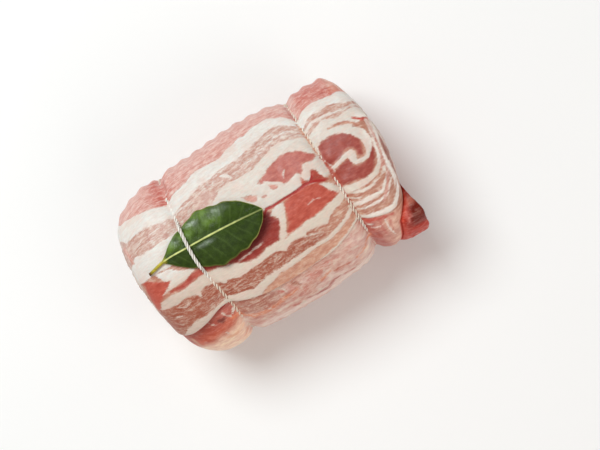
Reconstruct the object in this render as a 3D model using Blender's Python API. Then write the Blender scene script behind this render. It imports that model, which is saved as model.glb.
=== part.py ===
"""A rolled pork roast, tied with two loops of twine over a bay leaf.

A lean core runs through a thick belly slab that is wrapped round it. Along the near flank the slab's
free edge meets a second slice, set a step lower, and the core pokes out beyond that slice at the right
end.

+X runs along the roast, +Y across it to the far side and +Z up; the roast rests on z = 0. Lengths are
in millimetres and are turned into metres when a mesh is made. An angle is measured round the roast's
axis: 0 at the far side (+Y), a quarter turn at the top, a half turn at the near side (-Y).
"""

import math

import bmesh
import bpy
import numpy as np

MM = 0.001
QUARTER = math.pi / 2
TURN = 2 * math.pi

# The plain body, before its ends are rounded: plan outlines and top height at places along X.
FAR_SIDE = [(-83, 49.5), (-60, 51.6), (-46, 52.8), (-20, 54.6), (10, 56.4), (30, 56.2), (60, 55.6),
            (83, 54.0)]
NEAR_SIDE = [(-83, -55.0), (-60, -56.8), (-20, -56.6), (0, -57.2), (22, -55.2), (50, -53.2), (83, -50.0)]
TOP = [(-83, 82.0), (-60, 84.5), (-46, 85.0), (-20, 87.8), (10, 89.0), (30, 88.4), (60, 86.5), (83, 84.0)]
FOOT_SINK = 1.5            # how far the round section is pressed flat on the table
TOP_SQUARENESS = 2.3       # powers of the rounded-box section, above and below its middle
BASE_SQUARENESS = 2.6
MEAN_RADIUS = 45.0         # turns short lengths round the section into angles

# The two ends, at eight equal steps of angle: where the cut lies, how far back its edge is rounded, and
# the share of the section that is left at the cut.
HALF_LENGTH = 82.5
LEFT_CUT = [-79.5, -80.4, -80.2, -77.4, -72.4, -76.0, -81.3, -81.3]
LEFT_EDGE = [32.0, 28.0, 24.0, 22.0, 18.0, 20.0, 24.0, 28.0]
LEFT_SHARE = [0.66, 0.70, 0.74, 0.70, 0.66, 0.70, 0.76, 0.70]
RIGHT_CUT = [71.0, 78.2, 80.7, 77.2, 71.4, 71.0, 76.0, 74.0]
RIGHT_EDGE = [4.0, 9.0, 14.0, 14.0, 14.0, 14.0, 14.0, 6.0]
RIGHT_SHARE = [0.95, 0.85, 0.74, 0.70, 0.68, 0.72, 0.78, 0.90]
END_REACH = 26.0           # how far from its end a slanted cut bends the rows

# The loops of twine, at eight equal steps of angle: where each crosses, and how deep it bites.
TWINE_RADIUS = 1.05
TWINE_ROW = 46.0           # the rows that follow the loops, before they are bent
TWINE_REACH = (10.0, 30.0)
LEFT_LOOP = [-42.3, -43.2, -44.8, -39.8, -37.2, -39.0, -41.0, -42.0]
LEFT_BITE = [3.2, 2.4, 0.9, 2.6, 5.0, 5.8, 6.4, 5.8]
RIGHT_LOOP = [43.0, 44.2, 45.9, 47.2, 48.9, 48.0, 46.0, 44.0]
RIGHT_BITE = [4.2, 3.2, 3.2, 3.8, 7.2, 6.8, 6.4, 5.8]
WIDE_BITE = 8.0            # reach of the waist, and of the narrow groove in it
NARROW_BITE = 2.6
KNOT_ANGLE = math.radians(322)
KNOT_RADIUS = 2.2
KNOT_REACH = 3.2           # half length of a knot along its loop
KNOT_FROM_AXIS = 55.0
TAIL_LENGTH = 8.0
TAIL_RADIUS = 0.8
TAIL_SAG = 0.015
TAIL_AIMS = ((-0.75, 0.55, 0.45), (0.75, 0.55, -0.05))
TAIL_ROWS = (0.12, 0.4, 0.7, 1.0)

# The slab's free edge on the near flank and the crevice on top, in plan, and the crevice's depth.
FREE_EDGE = [(-83, -44.0), (-70, -40.0), (-57, -36.0), (-44, -33.0), (-36, -35.0), (-22, -38.0),
             (-5, -38.5), (10, -37.7), (25, -36.3), (38, -32.0), (46, -29.3), (54, -32.5), (64, -34.5),
             (83, -38.0)]
HIDDEN_EDGE = math.radians(258)
CREVICE = [(-83, -1.0), (-60, 2.5), (-30, 4.0), (0, 3.6), (20, 3.4), (37, 4.6), (44, 2.4), (83, 0.0)]
CREVICE_DEPTH = [(-83, 1.0), (-60, 1.2), (-10, 1.5), (2, 3.5), (15, 4.5), (38, 4.2), (44, 2.0), (50, 0.0)]
CREVICE_REACH = 0.95
SLAB = 13.0                # thickness of the slab
STEP = [(-83, 3.0), (-55, 2.8), (-42, 1.2), (0, 1.0), (30, 0.6), (83, 0.8)]
STEP_REACH = 15.0          # how far down the flank the lower slice takes to come up flush
LIP = (2.0, 1.6)           # reach and depth of the rounding along a slab's long edges
LUMPS = 0.7
# Each wave of lumps: its reach along X, how many go round the section, its phase and its share.
LUMP_WAVES = [(9.1, 4, 0.0, 1.0), (14.3, -3, 0.4, 1.0), (5.7, 5, 1.3, 0.5)]

GAP = 0.45                 # clearance between neighbours
EDGE_CLEAR = 0.006         # half the slit between the slab and the lower slice, as an angle
TWINE_GAP = 0.5
OVER_LEAF = 1.4            # clearance of the left loop over the leaf
UPPER = 60.0               # height above which the left loop may lie on the leaf

# The core pokes out on the near side of the right end.
LOBE_ANGLE = math.radians(182)
LOBE_HUGS = (math.radians(33), math.radians(44))
LOBE_CLIMBS = (math.radians(46), math.radians(54))
LOBE_JUTS = (math.radians(34), math.radians(50))
LOBE_LEAVES = (math.radians(62), math.radians(76))
LOBE_END = 81.4
LOBE_BACK = 8.5            # how far its lip reaches back over the slice's rounded end
LOBE_SWELL = 8.0
LOBE_NOSE = 0.25           # shares of the way from its lip to the axis: its nose ends, its rim ends
LOBE_RIM = 0.26
# How far each row of its wall has gone out of the hole, up the slice's cut, and back over the slice.
LOBE_WALL = ((0, 0, 0), (1, 0, 0), (1, 0.5, 0), (1, 1, 0), (1, 1, 0.08), (1, 1, 0.25), (1, 1, 0.45),
             (1, 1, 0.7), (1, 1, 1))
LOBE_ROWS = (0.03, 0.075, 0.125, 0.18, 0.25, 0.38, 0.54, 0.72, 0.88)
WALL_CLEAR = 0.8
RECESS = 3.0
DOME = 2.2

# The bay leaf, along X from the stalk's tip: half widths on its far and near sides.
LEAF_STALK = (-72.0, -61.5)
LEAF_TIP = 2.2
LEAF_MIDRIB = [(-72.0, 4.0), (-61.5, 6.4), (-45.0, 6.7), (-20.0, 6.0), (2.2, 4.3)]
LEAF_FAR = [(0, 0.9), (0.06, 3.4), (0.13, 7.0), (0.21, 9.6), (0.32, 12.6), (0.45, 15.0), (0.55, 15.2),
            (0.7, 13.3), (0.8, 11.6), (0.89, 8.2), (0.95, 4.4), (1, 0.5)]
LEAF_NEAR = [(0, 0.9), (0.06, 4.6), (0.13, 8.4), (0.23, 12.2), (0.32, 15.2), (0.42, 17.6), (0.53, 18.4),
             (0.65, 17.2), (0.77, 14.6), (0.89, 10.4), (0.96, 5.2), (1, 0.5)]
LEAF_THICK = 0.5
STALK_THICK = 1.5
LEAF_CLEAR = 0.8
LEAF_MARGIN = 3.0          # the loop over the leaf is raised this far beyond the leaf's edges
LEAF_WAVE = 0.5
TIP_LIFT = 3.8
NEAR_LIFT = 1.8
LIFT_FROM = (0.55, 0.3)    # shares of the blade's length at which the tip and the near edge start to lift
LEAF_WAVE_REACH = 6.5

# How finely things are divided.
END_STEPS = (0.0, 1.2, 3.5, 8.0, 14.0)
LOOP_STEPS = (-9.0, -5.0, -2.6, -1.2, 0.0, 1.2, 2.6, 5.0, 9.0)
MIDDLE_ROWS = 8
FAR_COLUMNS = 20
NEAR_COLUMNS = 5
FLANK_COLUMNS = 14
INNER_COLUMNS = (12, 16)   # on the inside of the slab and of the lower slice
LOOP_RINGS = 60
TUBE_SIDES = 8
LEAF_ROWS = 18
STALK_ROWS = 3
LEAF_COLUMNS = 4           # on each side of the midrib
DOME_ROWS = (0.8, 0.45)
LIP_COLUMNS = np.array([0.0, 0.35, 1.0]) * LIP[0] / MEAN_RADIUS
CREVICE_COLUMNS = np.array([-2.4, -0.95, 0.0, 0.95, 2.4]) / MEAN_RADIUS

TWINE_COLOUR = (0.86, 0.78, 0.64)


def curve(points, at):
    """A smooth curve through a few (place, value) points, level beyond its ends."""
    places, values = np.array(points, float).T
    slopes = np.gradient(values, places)
    at = np.clip(at, places[0], places[-1])
    i = np.clip(np.searchsorted(places, at) - 1, 0, len(places) - 2)
    step = places[i + 1] - places[i]
    t = (at - places[i]) / step
    start = (1 + 2 * t) * (1 - t) ** 2 * values[i] + t * (1 - t) ** 2 * step * slopes[i]
    end = t * t * (3 - 2 * t) * values[i + 1] + t * t * (t - 1) * step * slopes[i + 1]
    return start + end


def ring(values, angle):
    """A smooth closed curve through values at equal steps of angle."""
    values = np.array(values, float)
    place = np.asarray(angle) / TURN * len(values)
    i = np.floor(place).astype(int)
    t = place - i
    before, here, there, after = (values[(i + k) % len(values)] for k in (-1, 0, 1, 2))
    bend = 2 * before - 5 * here + 4 * there - after
    twist = 3 * (here - there) + after - before
    return here + t / 2 * (there - before + t * (bend + t * twist))


def fade(value, full, none):
    """1 up to full, 0 from none on, and smooth between them."""
    t = np.clip((none - value) / (none - full), 0, 1)
    return t * t * (3 - 2 * t)


def body(x):
    """The plain section at x: the middle's y and z, half its width and half its height."""
    far, near, top = curve(FAR_SIDE, x), curve(NEAR_SIDE, x), curve(TOP, x)
    return (far + near) / 2, (top - FOOT_SINK) / 2, (far - near) / 2, (top + FOOT_SINK) / 2


def edge_rounding(depth, reach, share):
    """The share of the section that is left at a depth behind a cut."""
    t = 1 - np.clip(depth / reach, 0, 1)
    return share + (1 - share) * np.sqrt(1 - t * t)


def plain_radius(x, angle):
    """Distance from the axis to the body, as if it ran on beyond its ends."""
    _, _, width, height = body(x)
    power = np.where(np.sin(angle) >= 0, TOP_SQUARENESS, BASE_SQUARENESS)
    inverse = np.abs(np.cos(angle) / width) ** power + np.abs(np.sin(angle) / height) ** power
    return inverse ** (-1 / power)


def rounded_radius(x, angle):
    """Distance from the axis to the body with its rounded ends, still without relief."""
    left = edge_rounding(x - ring(LEFT_CUT, angle), ring(LEFT_EDGE, angle), ring(LEFT_SHARE, angle))
    right = edge_rounding(ring(RIGHT_CUT, angle) - x, ring(RIGHT_EDGE, angle), ring(RIGHT_SHARE, angle))
    return plain_radius(x, angle) * left * right


def bite(x, angle):
    """How deep the two loops of twine press the body in."""
    depth = 0
    for path, most in ((LEFT_LOOP, LEFT_BITE), (RIGHT_LOOP, RIGHT_BITE)):
        off = x - ring(path, angle)
        shape = np.exp(-((off / WIDE_BITE) ** 2)) + np.exp(-((off / NARROW_BITE) ** 2))
        depth = depth + ring(most, angle) * shape / 2
    return depth


def lumps(x, angle):
    """Low uneven swells all over the meat."""
    waves = [share * np.sin(x / reach + count * angle + phase) for reach, count, phase, share in LUMP_WAVES]
    return LUMPS * sum(waves) / len(LUMP_WAVES)


def angle_at(x, y, radius_at):
    """The angle, on the upper half, at which the body at x is over the plan line y."""
    middle, _, _, _ = body(x)
    angle = np.full(np.shape(x), QUARTER)
    for _ in range(30):
        cosine = np.clip((y - middle) / radius_at(x, angle), -1, 1)
        angle = (angle + np.arccos(cosine)) / 2
    return angle


def along(row, angle):
    """Where a row lies at an angle: rows bend with the slanted cuts and with the loops of twine."""
    left_end = fade(row, -HALF_LENGTH, END_REACH - HALF_LENGTH)
    right_end = fade(-row, -HALF_LENGTH, END_REACH - HALF_LENGTH)
    left_loop = fade(np.abs(row + TWINE_ROW), *TWINE_REACH)
    right_loop = fade(np.abs(row - TWINE_ROW), *TWINE_REACH)
    x = row + left_end * (ring(LEFT_CUT, angle) + HALF_LENGTH)
    x = x + right_end * (ring(RIGHT_CUT, angle) - HALF_LENGTH)
    x = x + left_loop * (ring(LEFT_LOOP, angle) + TWINE_ROW) * (1 - left_end)
    return x + right_loop * (ring(RIGHT_LOOP, angle) - TWINE_ROW) * (1 - right_end)


def lip(distance):
    """How deep a slab is rounded off near a long edge."""
    reach, depth = LIP
    t = 1 - np.clip(distance / reach, 0, 1)
    return depth * (1 - np.sqrt(1 - 0.96 * t * t))


def outer_radius(x, angle):
    """The slab's outer surface, with its bites, crevice and lumps."""
    radius = rounded_radius(x, angle)
    off = (angle - crevice_line(x)) * radius
    crevice = curve(CREVICE_DEPTH, x) * np.exp(-((off / CREVICE_REACH) ** 2))
    return radius - bite(x, angle) + lumps(x, angle) - crevice


def line_angle(points):
    """A plan line as a function of x that gives the angle at which the body carries it."""
    places = np.linspace(-HALF_LENGTH, HALF_LENGTH, 60)
    angles = angle_at(places, curve(points, places), plain_radius)
    return lambda x: np.interp(x, places, angles)


free_edge = line_angle(FREE_EDGE)
crevice_line = line_angle(CREVICE)


def flank_radius(x, angle):
    """The lower slice's outer surface, which starts a step below the slab's free edge."""
    radius = outer_radius(x, angle)
    down = (angle - free_edge(x)) * radius
    return radius - curve(STEP, x) * fade(down, 0, STEP_REACH)


def inner_radius(x, angle):
    """The inside of the slab and of the lower slice."""
    radius = plain_radius(x, angle)
    return rounded_radius(x, angle) * (radius - SLAB) / radius - 0.8 * bite(x, angle)


def on_body(x, angle, radius):
    """Points at a radius from the axis, none of them below the table."""
    middle_y, middle_z, _, _ = body(x)
    y = middle_y + radius * np.cos(angle)
    z = np.maximum(middle_z + radius * np.sin(angle), 0)
    return np.stack(np.broadcast_arrays(x, y, z), axis=-1)


def row_places():
    """The rows along the roast, closer together at its ends and at the loops."""
    rows = [step - HALF_LENGTH for step in END_STEPS]
    rows.append((rows[-1] + LOOP_STEPS[0] - TWINE_ROW) / 2)
    rows += [offset - TWINE_ROW for offset in LOOP_STEPS]
    half_middle = TWINE_ROW - LOOP_STEPS[-1]
    rows += list(np.linspace(-half_middle, half_middle, MIDDLE_ROWS + 1)[1:-1])
    return rows + [-row for row in reversed(rows[:len(END_STEPS) + 1 + len(LOOP_STEPS)])]


def bend_row(row, angles_at):
    """A row's x and angles, which hang on each other where the edges wander."""
    angles = angles_at(row)
    for _ in range(4):
        angles = angles_at(along(row, angles))
    return along(row, angles), angles


def slab_angles(x):
    """Columns over the slab, from its hidden edge up the far side and over to its free edge."""
    start, end = HIDDEN_EDGE - TURN + EDGE_CLEAR, free_edge(x) - EDGE_CLEAR
    ends = LIP_COLUMNS[-1]
    far = np.linspace(0, 1, FAR_COLUMNS + 1)[1:-1]
    near = np.linspace(0, 1, NEAR_COLUMNS + 1)[1:-1]
    before = np.concatenate([LIP_COLUMNS * 0, far, CREVICE_COLUMNS * 0 + 1, near * 0 + 1,
                             LIP_COLUMNS * 0 + 1])
    after = np.concatenate([LIP_COLUMNS * 0, far * 0, CREVICE_COLUMNS * 0, near, LIP_COLUMNS * 0 + 1])
    edge, half_cut = ends, CREVICE_COLUMNS[-1]
    offset = np.concatenate([LIP_COLUMNS, edge + far * (-half_cut - edge), CREVICE_COLUMNS,
                             half_cut + near * (-edge - half_cut), -LIP_COLUMNS[::-1]])
    crevice = crevice_line(x)
    return start + before * (crevice - start) + after * (end - crevice) + offset


def slab_inner_angles(x):
    start = HIDDEN_EDGE - TURN + EDGE_CLEAR
    return start + np.linspace(0, 1, INNER_COLUMNS[0] + 1) * (free_edge(x) - EDGE_CLEAR - start)


def under_edge(x, columns):
    start = free_edge(x) + EDGE_CLEAR
    return start + np.linspace(0, 1, columns + 1) * (HIDDEN_EDGE - EDGE_CLEAR - start)


def flank_angles(x):
    """Columns over the lower slice, from under the free edge down to the hidden one."""
    return under_edge(x, FLANK_COLUMNS)


def flank_inner_angles(x):
    return under_edge(x, INNER_COLUMNS[1])


def core_angles(x):
    """Columns round the core, in line with those inside the slab and the lower slice."""
    slab = np.linspace(0, 1, INNER_COLUMNS[0] + 1)[:-1]
    flank = np.linspace(0, 1, INNER_COLUMNS[1] + 1)[:-1]
    start, edge = HIDDEN_EDGE - TURN, free_edge(x)
    round_slab = np.concatenate([slab, flank * 0 + 1])
    round_flank = np.concatenate([slab * 0, flank])
    return start + round_slab * (edge - start) + round_flank * (HIDDEN_EDGE - edge)


def make_object(name, points, faces, colour, roughness):
    """One named closed body with its own material; points are in millimetres."""
    shape = bmesh.new()
    corners = [shape.verts.new([float(value) * MM for value in point]) for point in points]
    for face in faces:
        shape.faces.new([corners[k] for k in face])
    bmesh.ops.triangulate(shape, faces=shape.faces)
    bmesh.ops.recalc_face_normals(shape, faces=shape.faces)
    mesh = bpy.data.meshes.new(name)
    shape.to_mesh(mesh)
    shape.free()
    mesh.shade_smooth()
    mesh.set_sharp_from_angle(angle=math.radians(50))
    made = bpy.data.objects.new(name, mesh)
    bpy.context.collection.objects.link(made)
    material = bpy.data.materials.new(name)
    material.use_nodes = True
    shader = material.node_tree.nodes["Principled BSDF"]
    shader.inputs["Base Color"].default_value = (*colour, 1)
    shader.inputs["Roughness"].default_value = roughness
    mesh.materials.append(material)
    return made


def bridge(first, second):
    """Triangles between two lines of points that run the same way with different counts."""
    faces, i, j = [], 0, 0
    while i < len(first) - 1 or j < len(second) - 1:
        ahead_first = (i + 1) / (len(first) - 1)
        ahead_second = (j + 1) / (len(second) - 1)
        if j == len(second) - 1 or (i < len(first) - 1 and ahead_first <= ahead_second):
            faces.append((first[i], first[i + 1], second[j]))
            i += 1
        else:
            faces.append((first[i], second[j + 1], second[j]))
            j += 1
    return faces


def grid_faces(grid, around=False):
    """Quads between neighbouring points of a grid of numbers, closed round each row if asked."""
    rows, columns = grid.shape
    faces = []
    for i in range(rows - 1):
        for j in range(columns if around else columns - 1):
            k = (j + 1) % columns
            faces.append((grid[i, j], grid[i, k], grid[i + 1, k], grid[i + 1, j]))
    return faces


def curved_slab(name, outer_at, outer_radius_at, inner_at, colour, roughness):
    """A closed slab between an outer and an inner surface, both laid out in rows along the roast."""
    outer, inner = [], []
    for row in row_places():
        x, angles = bend_row(row, outer_at)
        outer.append(on_body(x, angles, outer_radius_at(x, angles)))
        x, angles = bend_row(row, inner_at)
        inner.append(on_body(x, angles, inner_radius(x, angles)))
    outer, inner = np.array(outer), np.array(inner)
    top = np.arange(outer.shape[0] * outer.shape[1]).reshape(outer.shape[:2])
    under = top.size + np.arange(inner.shape[0] * inner.shape[1]).reshape(inner.shape[:2])
    faces = grid_faces(top) + grid_faces(under[:, ::-1])
    for end in (0, -1):
        faces += bridge(list(top[end]), list(under[end]))
        faces += grid_faces(np.stack([top[:, end], under[:, end]], axis=1))
    points = np.concatenate([outer.reshape(-1, 3), inner.reshape(-1, 3)])
    return make_object(name, points, faces, colour, roughness)


def belly_slab():
    def radius(x, angle):
        start = (angle - (HIDDEN_EDGE - TURN)) * outer_radius(x, angle)
        end = (free_edge(x) - angle) * outer_radius(x, angle)
        return outer_radius(x, angle) - lip(start) - lip(end)

    return curved_slab("belly_slab", slab_angles, radius, slab_inner_angles, (0.72, 0.46, 0.40), 0.45)


def belly_flank():
    def radius(x, angle):
        end = (HIDDEN_EDGE - angle) * outer_radius(x, angle)
        return flank_radius(x, angle) - lip(end)

    return curved_slab("belly_flank", flank_angles, radius, flank_inner_angles, (0.66, 0.36, 0.30), 0.42)


def round_lobe(angle, reach):
    """1 over the middle of the lobe's side of the core and 0 from its edge on."""
    off = (angle - LOBE_ANGLE + math.pi) % TURN - math.pi
    return fade(np.abs(off), *reach)


def lobe_wall(angle, out, up, back):
    """A row of the core's wall as it leaves its hole, climbs the lower slice's cut and goes back over
    the slice's rounded edge; the shares say how much of those three stretches it has gone."""
    cut = ring(RIGHT_CUT, angle)
    hole = inner_radius(cut, angle) - 2 * GAP
    face = flank_radius(cut, angle) - hole + WALL_CLEAR
    out = out * round_lobe(angle, LOBE_LEAVES)
    reach = LOBE_BACK * round_lobe(angle, LOBE_HUGS) * back
    x = cut - RECESS + out * (RECESS + WALL_CLEAR) - reach
    climbed = hole + face * up * round_lobe(angle, LOBE_CLIMBS)
    return x, np.where(reach > 0, flank_radius(cut - reach, angle) + 2 * WALL_CLEAR, climbed)


def core():
    """The lean core: rows inside the wrapping, a domed left end and a right end with a lobe."""
    rows = []
    for row in row_places()[2:-2]:
        x, angles = bend_row(row, core_angles)
        rows.append((x, angles, inner_radius(x, angles) - GAP))
    x, angles, radius = rows[0]
    middle = ring(LEFT_CUT, QUARTER) + 2 * RECESS
    for share in DOME_ROWS:
        rows.insert(0, (middle - DOME * (1 - share) + (x - middle) * share ** 1.5, angles, radius * share))
    left_tip = [float(middle) - DOME, 0, 0]
    _, angles, _ = rows[-1]
    for out, up, back in LOBE_WALL:
        x, radius = lobe_wall(angles, out, up, back)
        rows.append((x, angles, radius))
    start, lip_radius = x, radius
    face, _ = lobe_wall(angles, 1, 1, 0)
    middle = ring(RIGHT_CUT, QUARTER) - RECESS
    for share in LOBE_ROWS:
        swell = LOBE_SWELL * math.sqrt(math.sin(math.pi * min(1, share / LOBE_RIM)))
        base = start + (face - start) * fade(-share, -LOBE_NOSE / 2, 0)
        base = base + (middle - face) * fade(-share, -1, -LOBE_NOSE)
        nose = math.sin(math.pi * min(1, share / LOBE_NOSE)) * round_lobe(angles, LOBE_JUTS)
        swell = swell * round_lobe(angles, LOBE_CLIMBS)
        rows.append((base + (LOBE_END - base) * nose, angles, lip_radius * (1 - share) + swell))
    points = [left_tip]
    for x, angles, radius in rows:
        points.extend(on_body(x, angles, radius))
    points.append([float(middle) + DOME, 0, 0])
    for tip in (0, -1):
        middle_y, middle_z, _, _ = body(points[tip][0])
        points[tip][1:] = [float(middle_y), float(middle_z)]
    count = len(rows[0][0])
    grid = 1 + np.arange(len(rows) * count).reshape(len(rows), count)
    faces = grid_faces(grid, around=True)
    last = len(points) - 1
    for j in range(count):
        k = (j + 1) % count
        faces.append((0, grid[0, k], grid[0, j]))
        faces.append((last, grid[-1, j], grid[-1, k]))
    return make_object("pork_loin", points, faces, (0.45, 0.13, 0.09), 0.38)


def height_over(x, y):
    """The top of the plain body over a plan point."""
    angle = angle_at(x, y, rounded_radius)
    _, middle_z, _, _ = body(x)
    return middle_z + rounded_radius(x, angle) * np.sin(angle)


def leaf_share(x):
    """0 at the foot of the blade and 1 at its tip."""
    return np.clip((x - LEAF_STALK[1]) / (LEAF_TIP - LEAF_STALK[1]), 0, 1)


def leaf_under(x, y):
    """The height of the leaf's lower face: it lies on the roast, and lifts at its tip and near edge."""
    share = leaf_share(x)
    across = (curve(LEAF_MIDRIB, x) - y) / np.maximum(curve(LEAF_NEAR, share), 2)
    tip = TIP_LIFT * fade(-share, -1, -LIFT_FROM[0])
    near = NEAR_LIFT * fade(-across, -1, 0) * fade(-share, -0.7, -LIFT_FROM[1])
    wave = LEAF_WAVE * (1 + np.sin(x / LEAF_WAVE_REACH) * across) * fade(-np.abs(across), -1, 0)
    return height_over(x, y) + LEAF_CLEAR + tip + near + wave


def bay_leaf():
    """A thin wavy blade on a stalk, its two faces divided alike."""
    stalk = np.linspace(LEAF_STALK[0], LEAF_STALK[1], STALK_ROWS + 1)[:-1]
    even = np.linspace(0, 1, LEAF_ROWS + 1)
    shares = 0.3 * (1 - np.cos(math.pi * even)) + 0.4 * even
    blade = LEAF_STALK[1] + shares * (LEAF_TIP - LEAF_STALK[1])
    x = np.concatenate([stalk, blade])[:, None]
    across = np.linspace(-1, 1, 2 * LEAF_COLUMNS + 1)[None, :]
    half = np.where(across > 0, curve(LEAF_FAR, leaf_share(x)), curve(LEAF_NEAR, leaf_share(x)))
    y = curve(LEAF_MIDRIB, x) + across * half
    x = x + 0 * y
    thick = LEAF_THICK + (STALK_THICK - LEAF_THICK) * fade(x, LEAF_STALK[1] - 2, LEAF_STALK[1] + 5)
    thick = np.maximum(thick * (1 - 0.75 * across ** 2), LEAF_THICK)
    under = leaf_under(x, y)
    points = np.concatenate([np.stack([x, y, under], -1).reshape(-1, 3),
                             np.stack([x, y, under + thick], -1).reshape(-1, 3)])
    grid = np.arange(x.size).reshape(x.shape)
    faces = grid_faces(grid[:, ::-1]) + grid_faces(grid + x.size)
    rim = list(grid[0]) + list(grid[1:, -1]) + list(grid[-1, -2::-1]) + list(grid[-2:0:-1, 0])
    for first, second in zip(rim, rim[1:] + rim[:1]):
        faces.append((first, second, second + x.size, first + x.size))
    return make_object("bay_leaf", points, faces, (0.09, 0.15, 0.03), 0.28)


def loop_path(path, angles, radius, over_leaf):
    """The middle line of a loop of twine, just clear of the meat and of the leaf under it."""
    x = ring(path, angles)
    surface = np.max([flank_or_slab(x + side * radius, angles) for side in (-1, 0, 1)], axis=0)
    surface = np.maximum(surface, (np.roll(surface, 1) + np.roll(surface, -1)) / 2)
    points = on_body(x, angles, surface + TWINE_GAP + radius)
    if over_leaf:
        share = leaf_share(x)
        far = curve(LEAF_MIDRIB, x) + curve(LEAF_FAR, share)
        near = curve(LEAF_MIDRIB, x) - curve(LEAF_NEAR, share)
        y, z = points[:, 1], points[:, 2]
        covered = (y < far + LEAF_MARGIN) & (y > near - LEAF_MARGIN) & (z > UPPER)
        on_leaf = leaf_under(x, np.clip(y, near, far)) + LEAF_THICK + OVER_LEAF + radius
        z = np.where(covered, np.maximum(z, on_leaf), z)
        drop = np.maximum(z, (np.roll(z, 1) + np.roll(z, -1)) / 2)
        points[:, 2] = np.where(z > UPPER, drop, z)
    return points


def flank_or_slab(x, angle):
    """The outermost meat at an angle, whichever piece it belongs to."""
    angle = angle % TURN
    on_flank = (angle > free_edge(x)) & (angle < HIDDEN_EDGE)
    return np.where(on_flank, flank_radius(x, angle), outer_radius(x, angle))


def tube(points, radii, sides, closed):
    """Points and faces of a round tube along a line of points."""
    if closed:
        ahead = np.roll(points, -1, axis=0) - np.roll(points, 1, axis=0)
    else:
        ahead = np.gradient(points, axis=0)
    ahead = ahead / np.linalg.norm(ahead, axis=1)[:, None]
    across = np.cross(ahead, [1.0, 0.0, 0.0])
    across = across / np.linalg.norm(across, axis=1)[:, None]
    beside = np.cross(ahead, across)
    turns = np.arange(sides) * TURN / sides
    rings = points[:, None] + radii[:, None, None] * (np.cos(turns)[None, :, None] * across[:, None]
                                                      + np.sin(turns)[None, :, None] * beside[:, None])
    grid = np.arange(len(points) * sides).reshape(len(points), sides)
    faces = grid_faces(np.vstack([grid, grid[:1]]) if closed else grid, around=True)
    if not closed:
        faces += [tuple(grid[0, ::-1]), tuple(grid[-1])]
    return rings.reshape(-1, 3), faces


def twine_loop(name, path, over_leaf):
    """A closed loop with a knot low on the far side and the knot's two short tails."""
    angles = np.linspace(0, TURN, LOOP_RINGS, endpoint=False)
    near_knot = np.linspace(-1.5, 1.5, 7) * KNOT_REACH / KNOT_FROM_AXIS
    angles = angles[np.abs(angles - KNOT_ANGLE) > near_knot[-1] + 0.02]
    angles = np.sort(np.concatenate([angles, KNOT_ANGLE + near_knot]))
    off = (angles - KNOT_ANGLE) * KNOT_FROM_AXIS / KNOT_REACH
    radii = TWINE_RADIUS + (KNOT_RADIUS - TWINE_RADIUS) * np.sqrt(np.clip(1 - off * off, 0, 1))
    points = loop_path(path, angles, radii, over_leaf)
    loop = make_object(name, *tube(points, radii, TUBE_SIDES, closed=True), TWINE_COLOUR, 0.8)
    middle = points[np.argmin(np.abs(off))]
    reach = np.array(TAIL_ROWS)[:, None] * TAIL_LENGTH
    for aim in TAIL_AIMS:
        line = middle + reach * aim - np.array([0, 0, TAIL_SAG]) * reach ** 2
        tail = make_object(name + "_tail", *tube(line, np.full(len(line), TAIL_RADIUS), 6, closed=False),
                           TWINE_COLOUR, 0.8)
        join = loop.modifiers.new("tail", "BOOLEAN")
        join.operation = "UNION"
        join.object = tail
        bake(loop)
        bpy.data.objects.remove(tail)
    return loop


def bake(made):
    """Apply an object's modifiers to its mesh."""
    evaluated = made.evaluated_get(bpy.context.evaluated_depsgraph_get())
    mesh = bpy.data.meshes.new_from_object(evaluated)
    made.modifiers.clear()
    made.data = mesh


def main():
    for old in list(bpy.data.objects):
        bpy.data.objects.remove(old)
    core()
    belly_slab()
    belly_flank()
    bay_leaf()
    twine_loop("twine_left", LEFT_LOOP, over_leaf=True)
    twine_loop("twine_right", RIGHT_LOOP, over_leaf=False)


main()
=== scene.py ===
"""Looks of a rolled pork roast: streaky slab, lower slice, core, two loops of twine and a bay leaf.

The shapes follow the same named values as the solids, in millimetres, at a finer step. Bands of fat are
edges and lines drawn as an eye above the roast sees them, laid on the body's surface.
"""

import math

import bmesh
import bpy
import numpy as np
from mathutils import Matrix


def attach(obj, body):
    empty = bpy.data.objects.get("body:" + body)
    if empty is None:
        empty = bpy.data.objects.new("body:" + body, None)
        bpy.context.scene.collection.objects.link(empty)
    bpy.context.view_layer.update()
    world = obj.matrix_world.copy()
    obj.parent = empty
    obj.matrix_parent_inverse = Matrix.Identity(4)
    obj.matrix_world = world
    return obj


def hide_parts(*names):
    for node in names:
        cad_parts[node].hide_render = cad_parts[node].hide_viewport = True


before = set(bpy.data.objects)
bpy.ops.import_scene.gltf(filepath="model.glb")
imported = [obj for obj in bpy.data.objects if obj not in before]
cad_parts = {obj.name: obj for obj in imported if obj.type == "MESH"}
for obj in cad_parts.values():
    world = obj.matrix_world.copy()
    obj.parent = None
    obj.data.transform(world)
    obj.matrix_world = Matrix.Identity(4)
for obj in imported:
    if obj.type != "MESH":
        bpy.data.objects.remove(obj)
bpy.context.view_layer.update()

MM = 0.001
QUARTER = math.pi / 2
TURN = 2 * math.pi

# ---------------------------------------------------------------- the body, as in the solids

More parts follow.
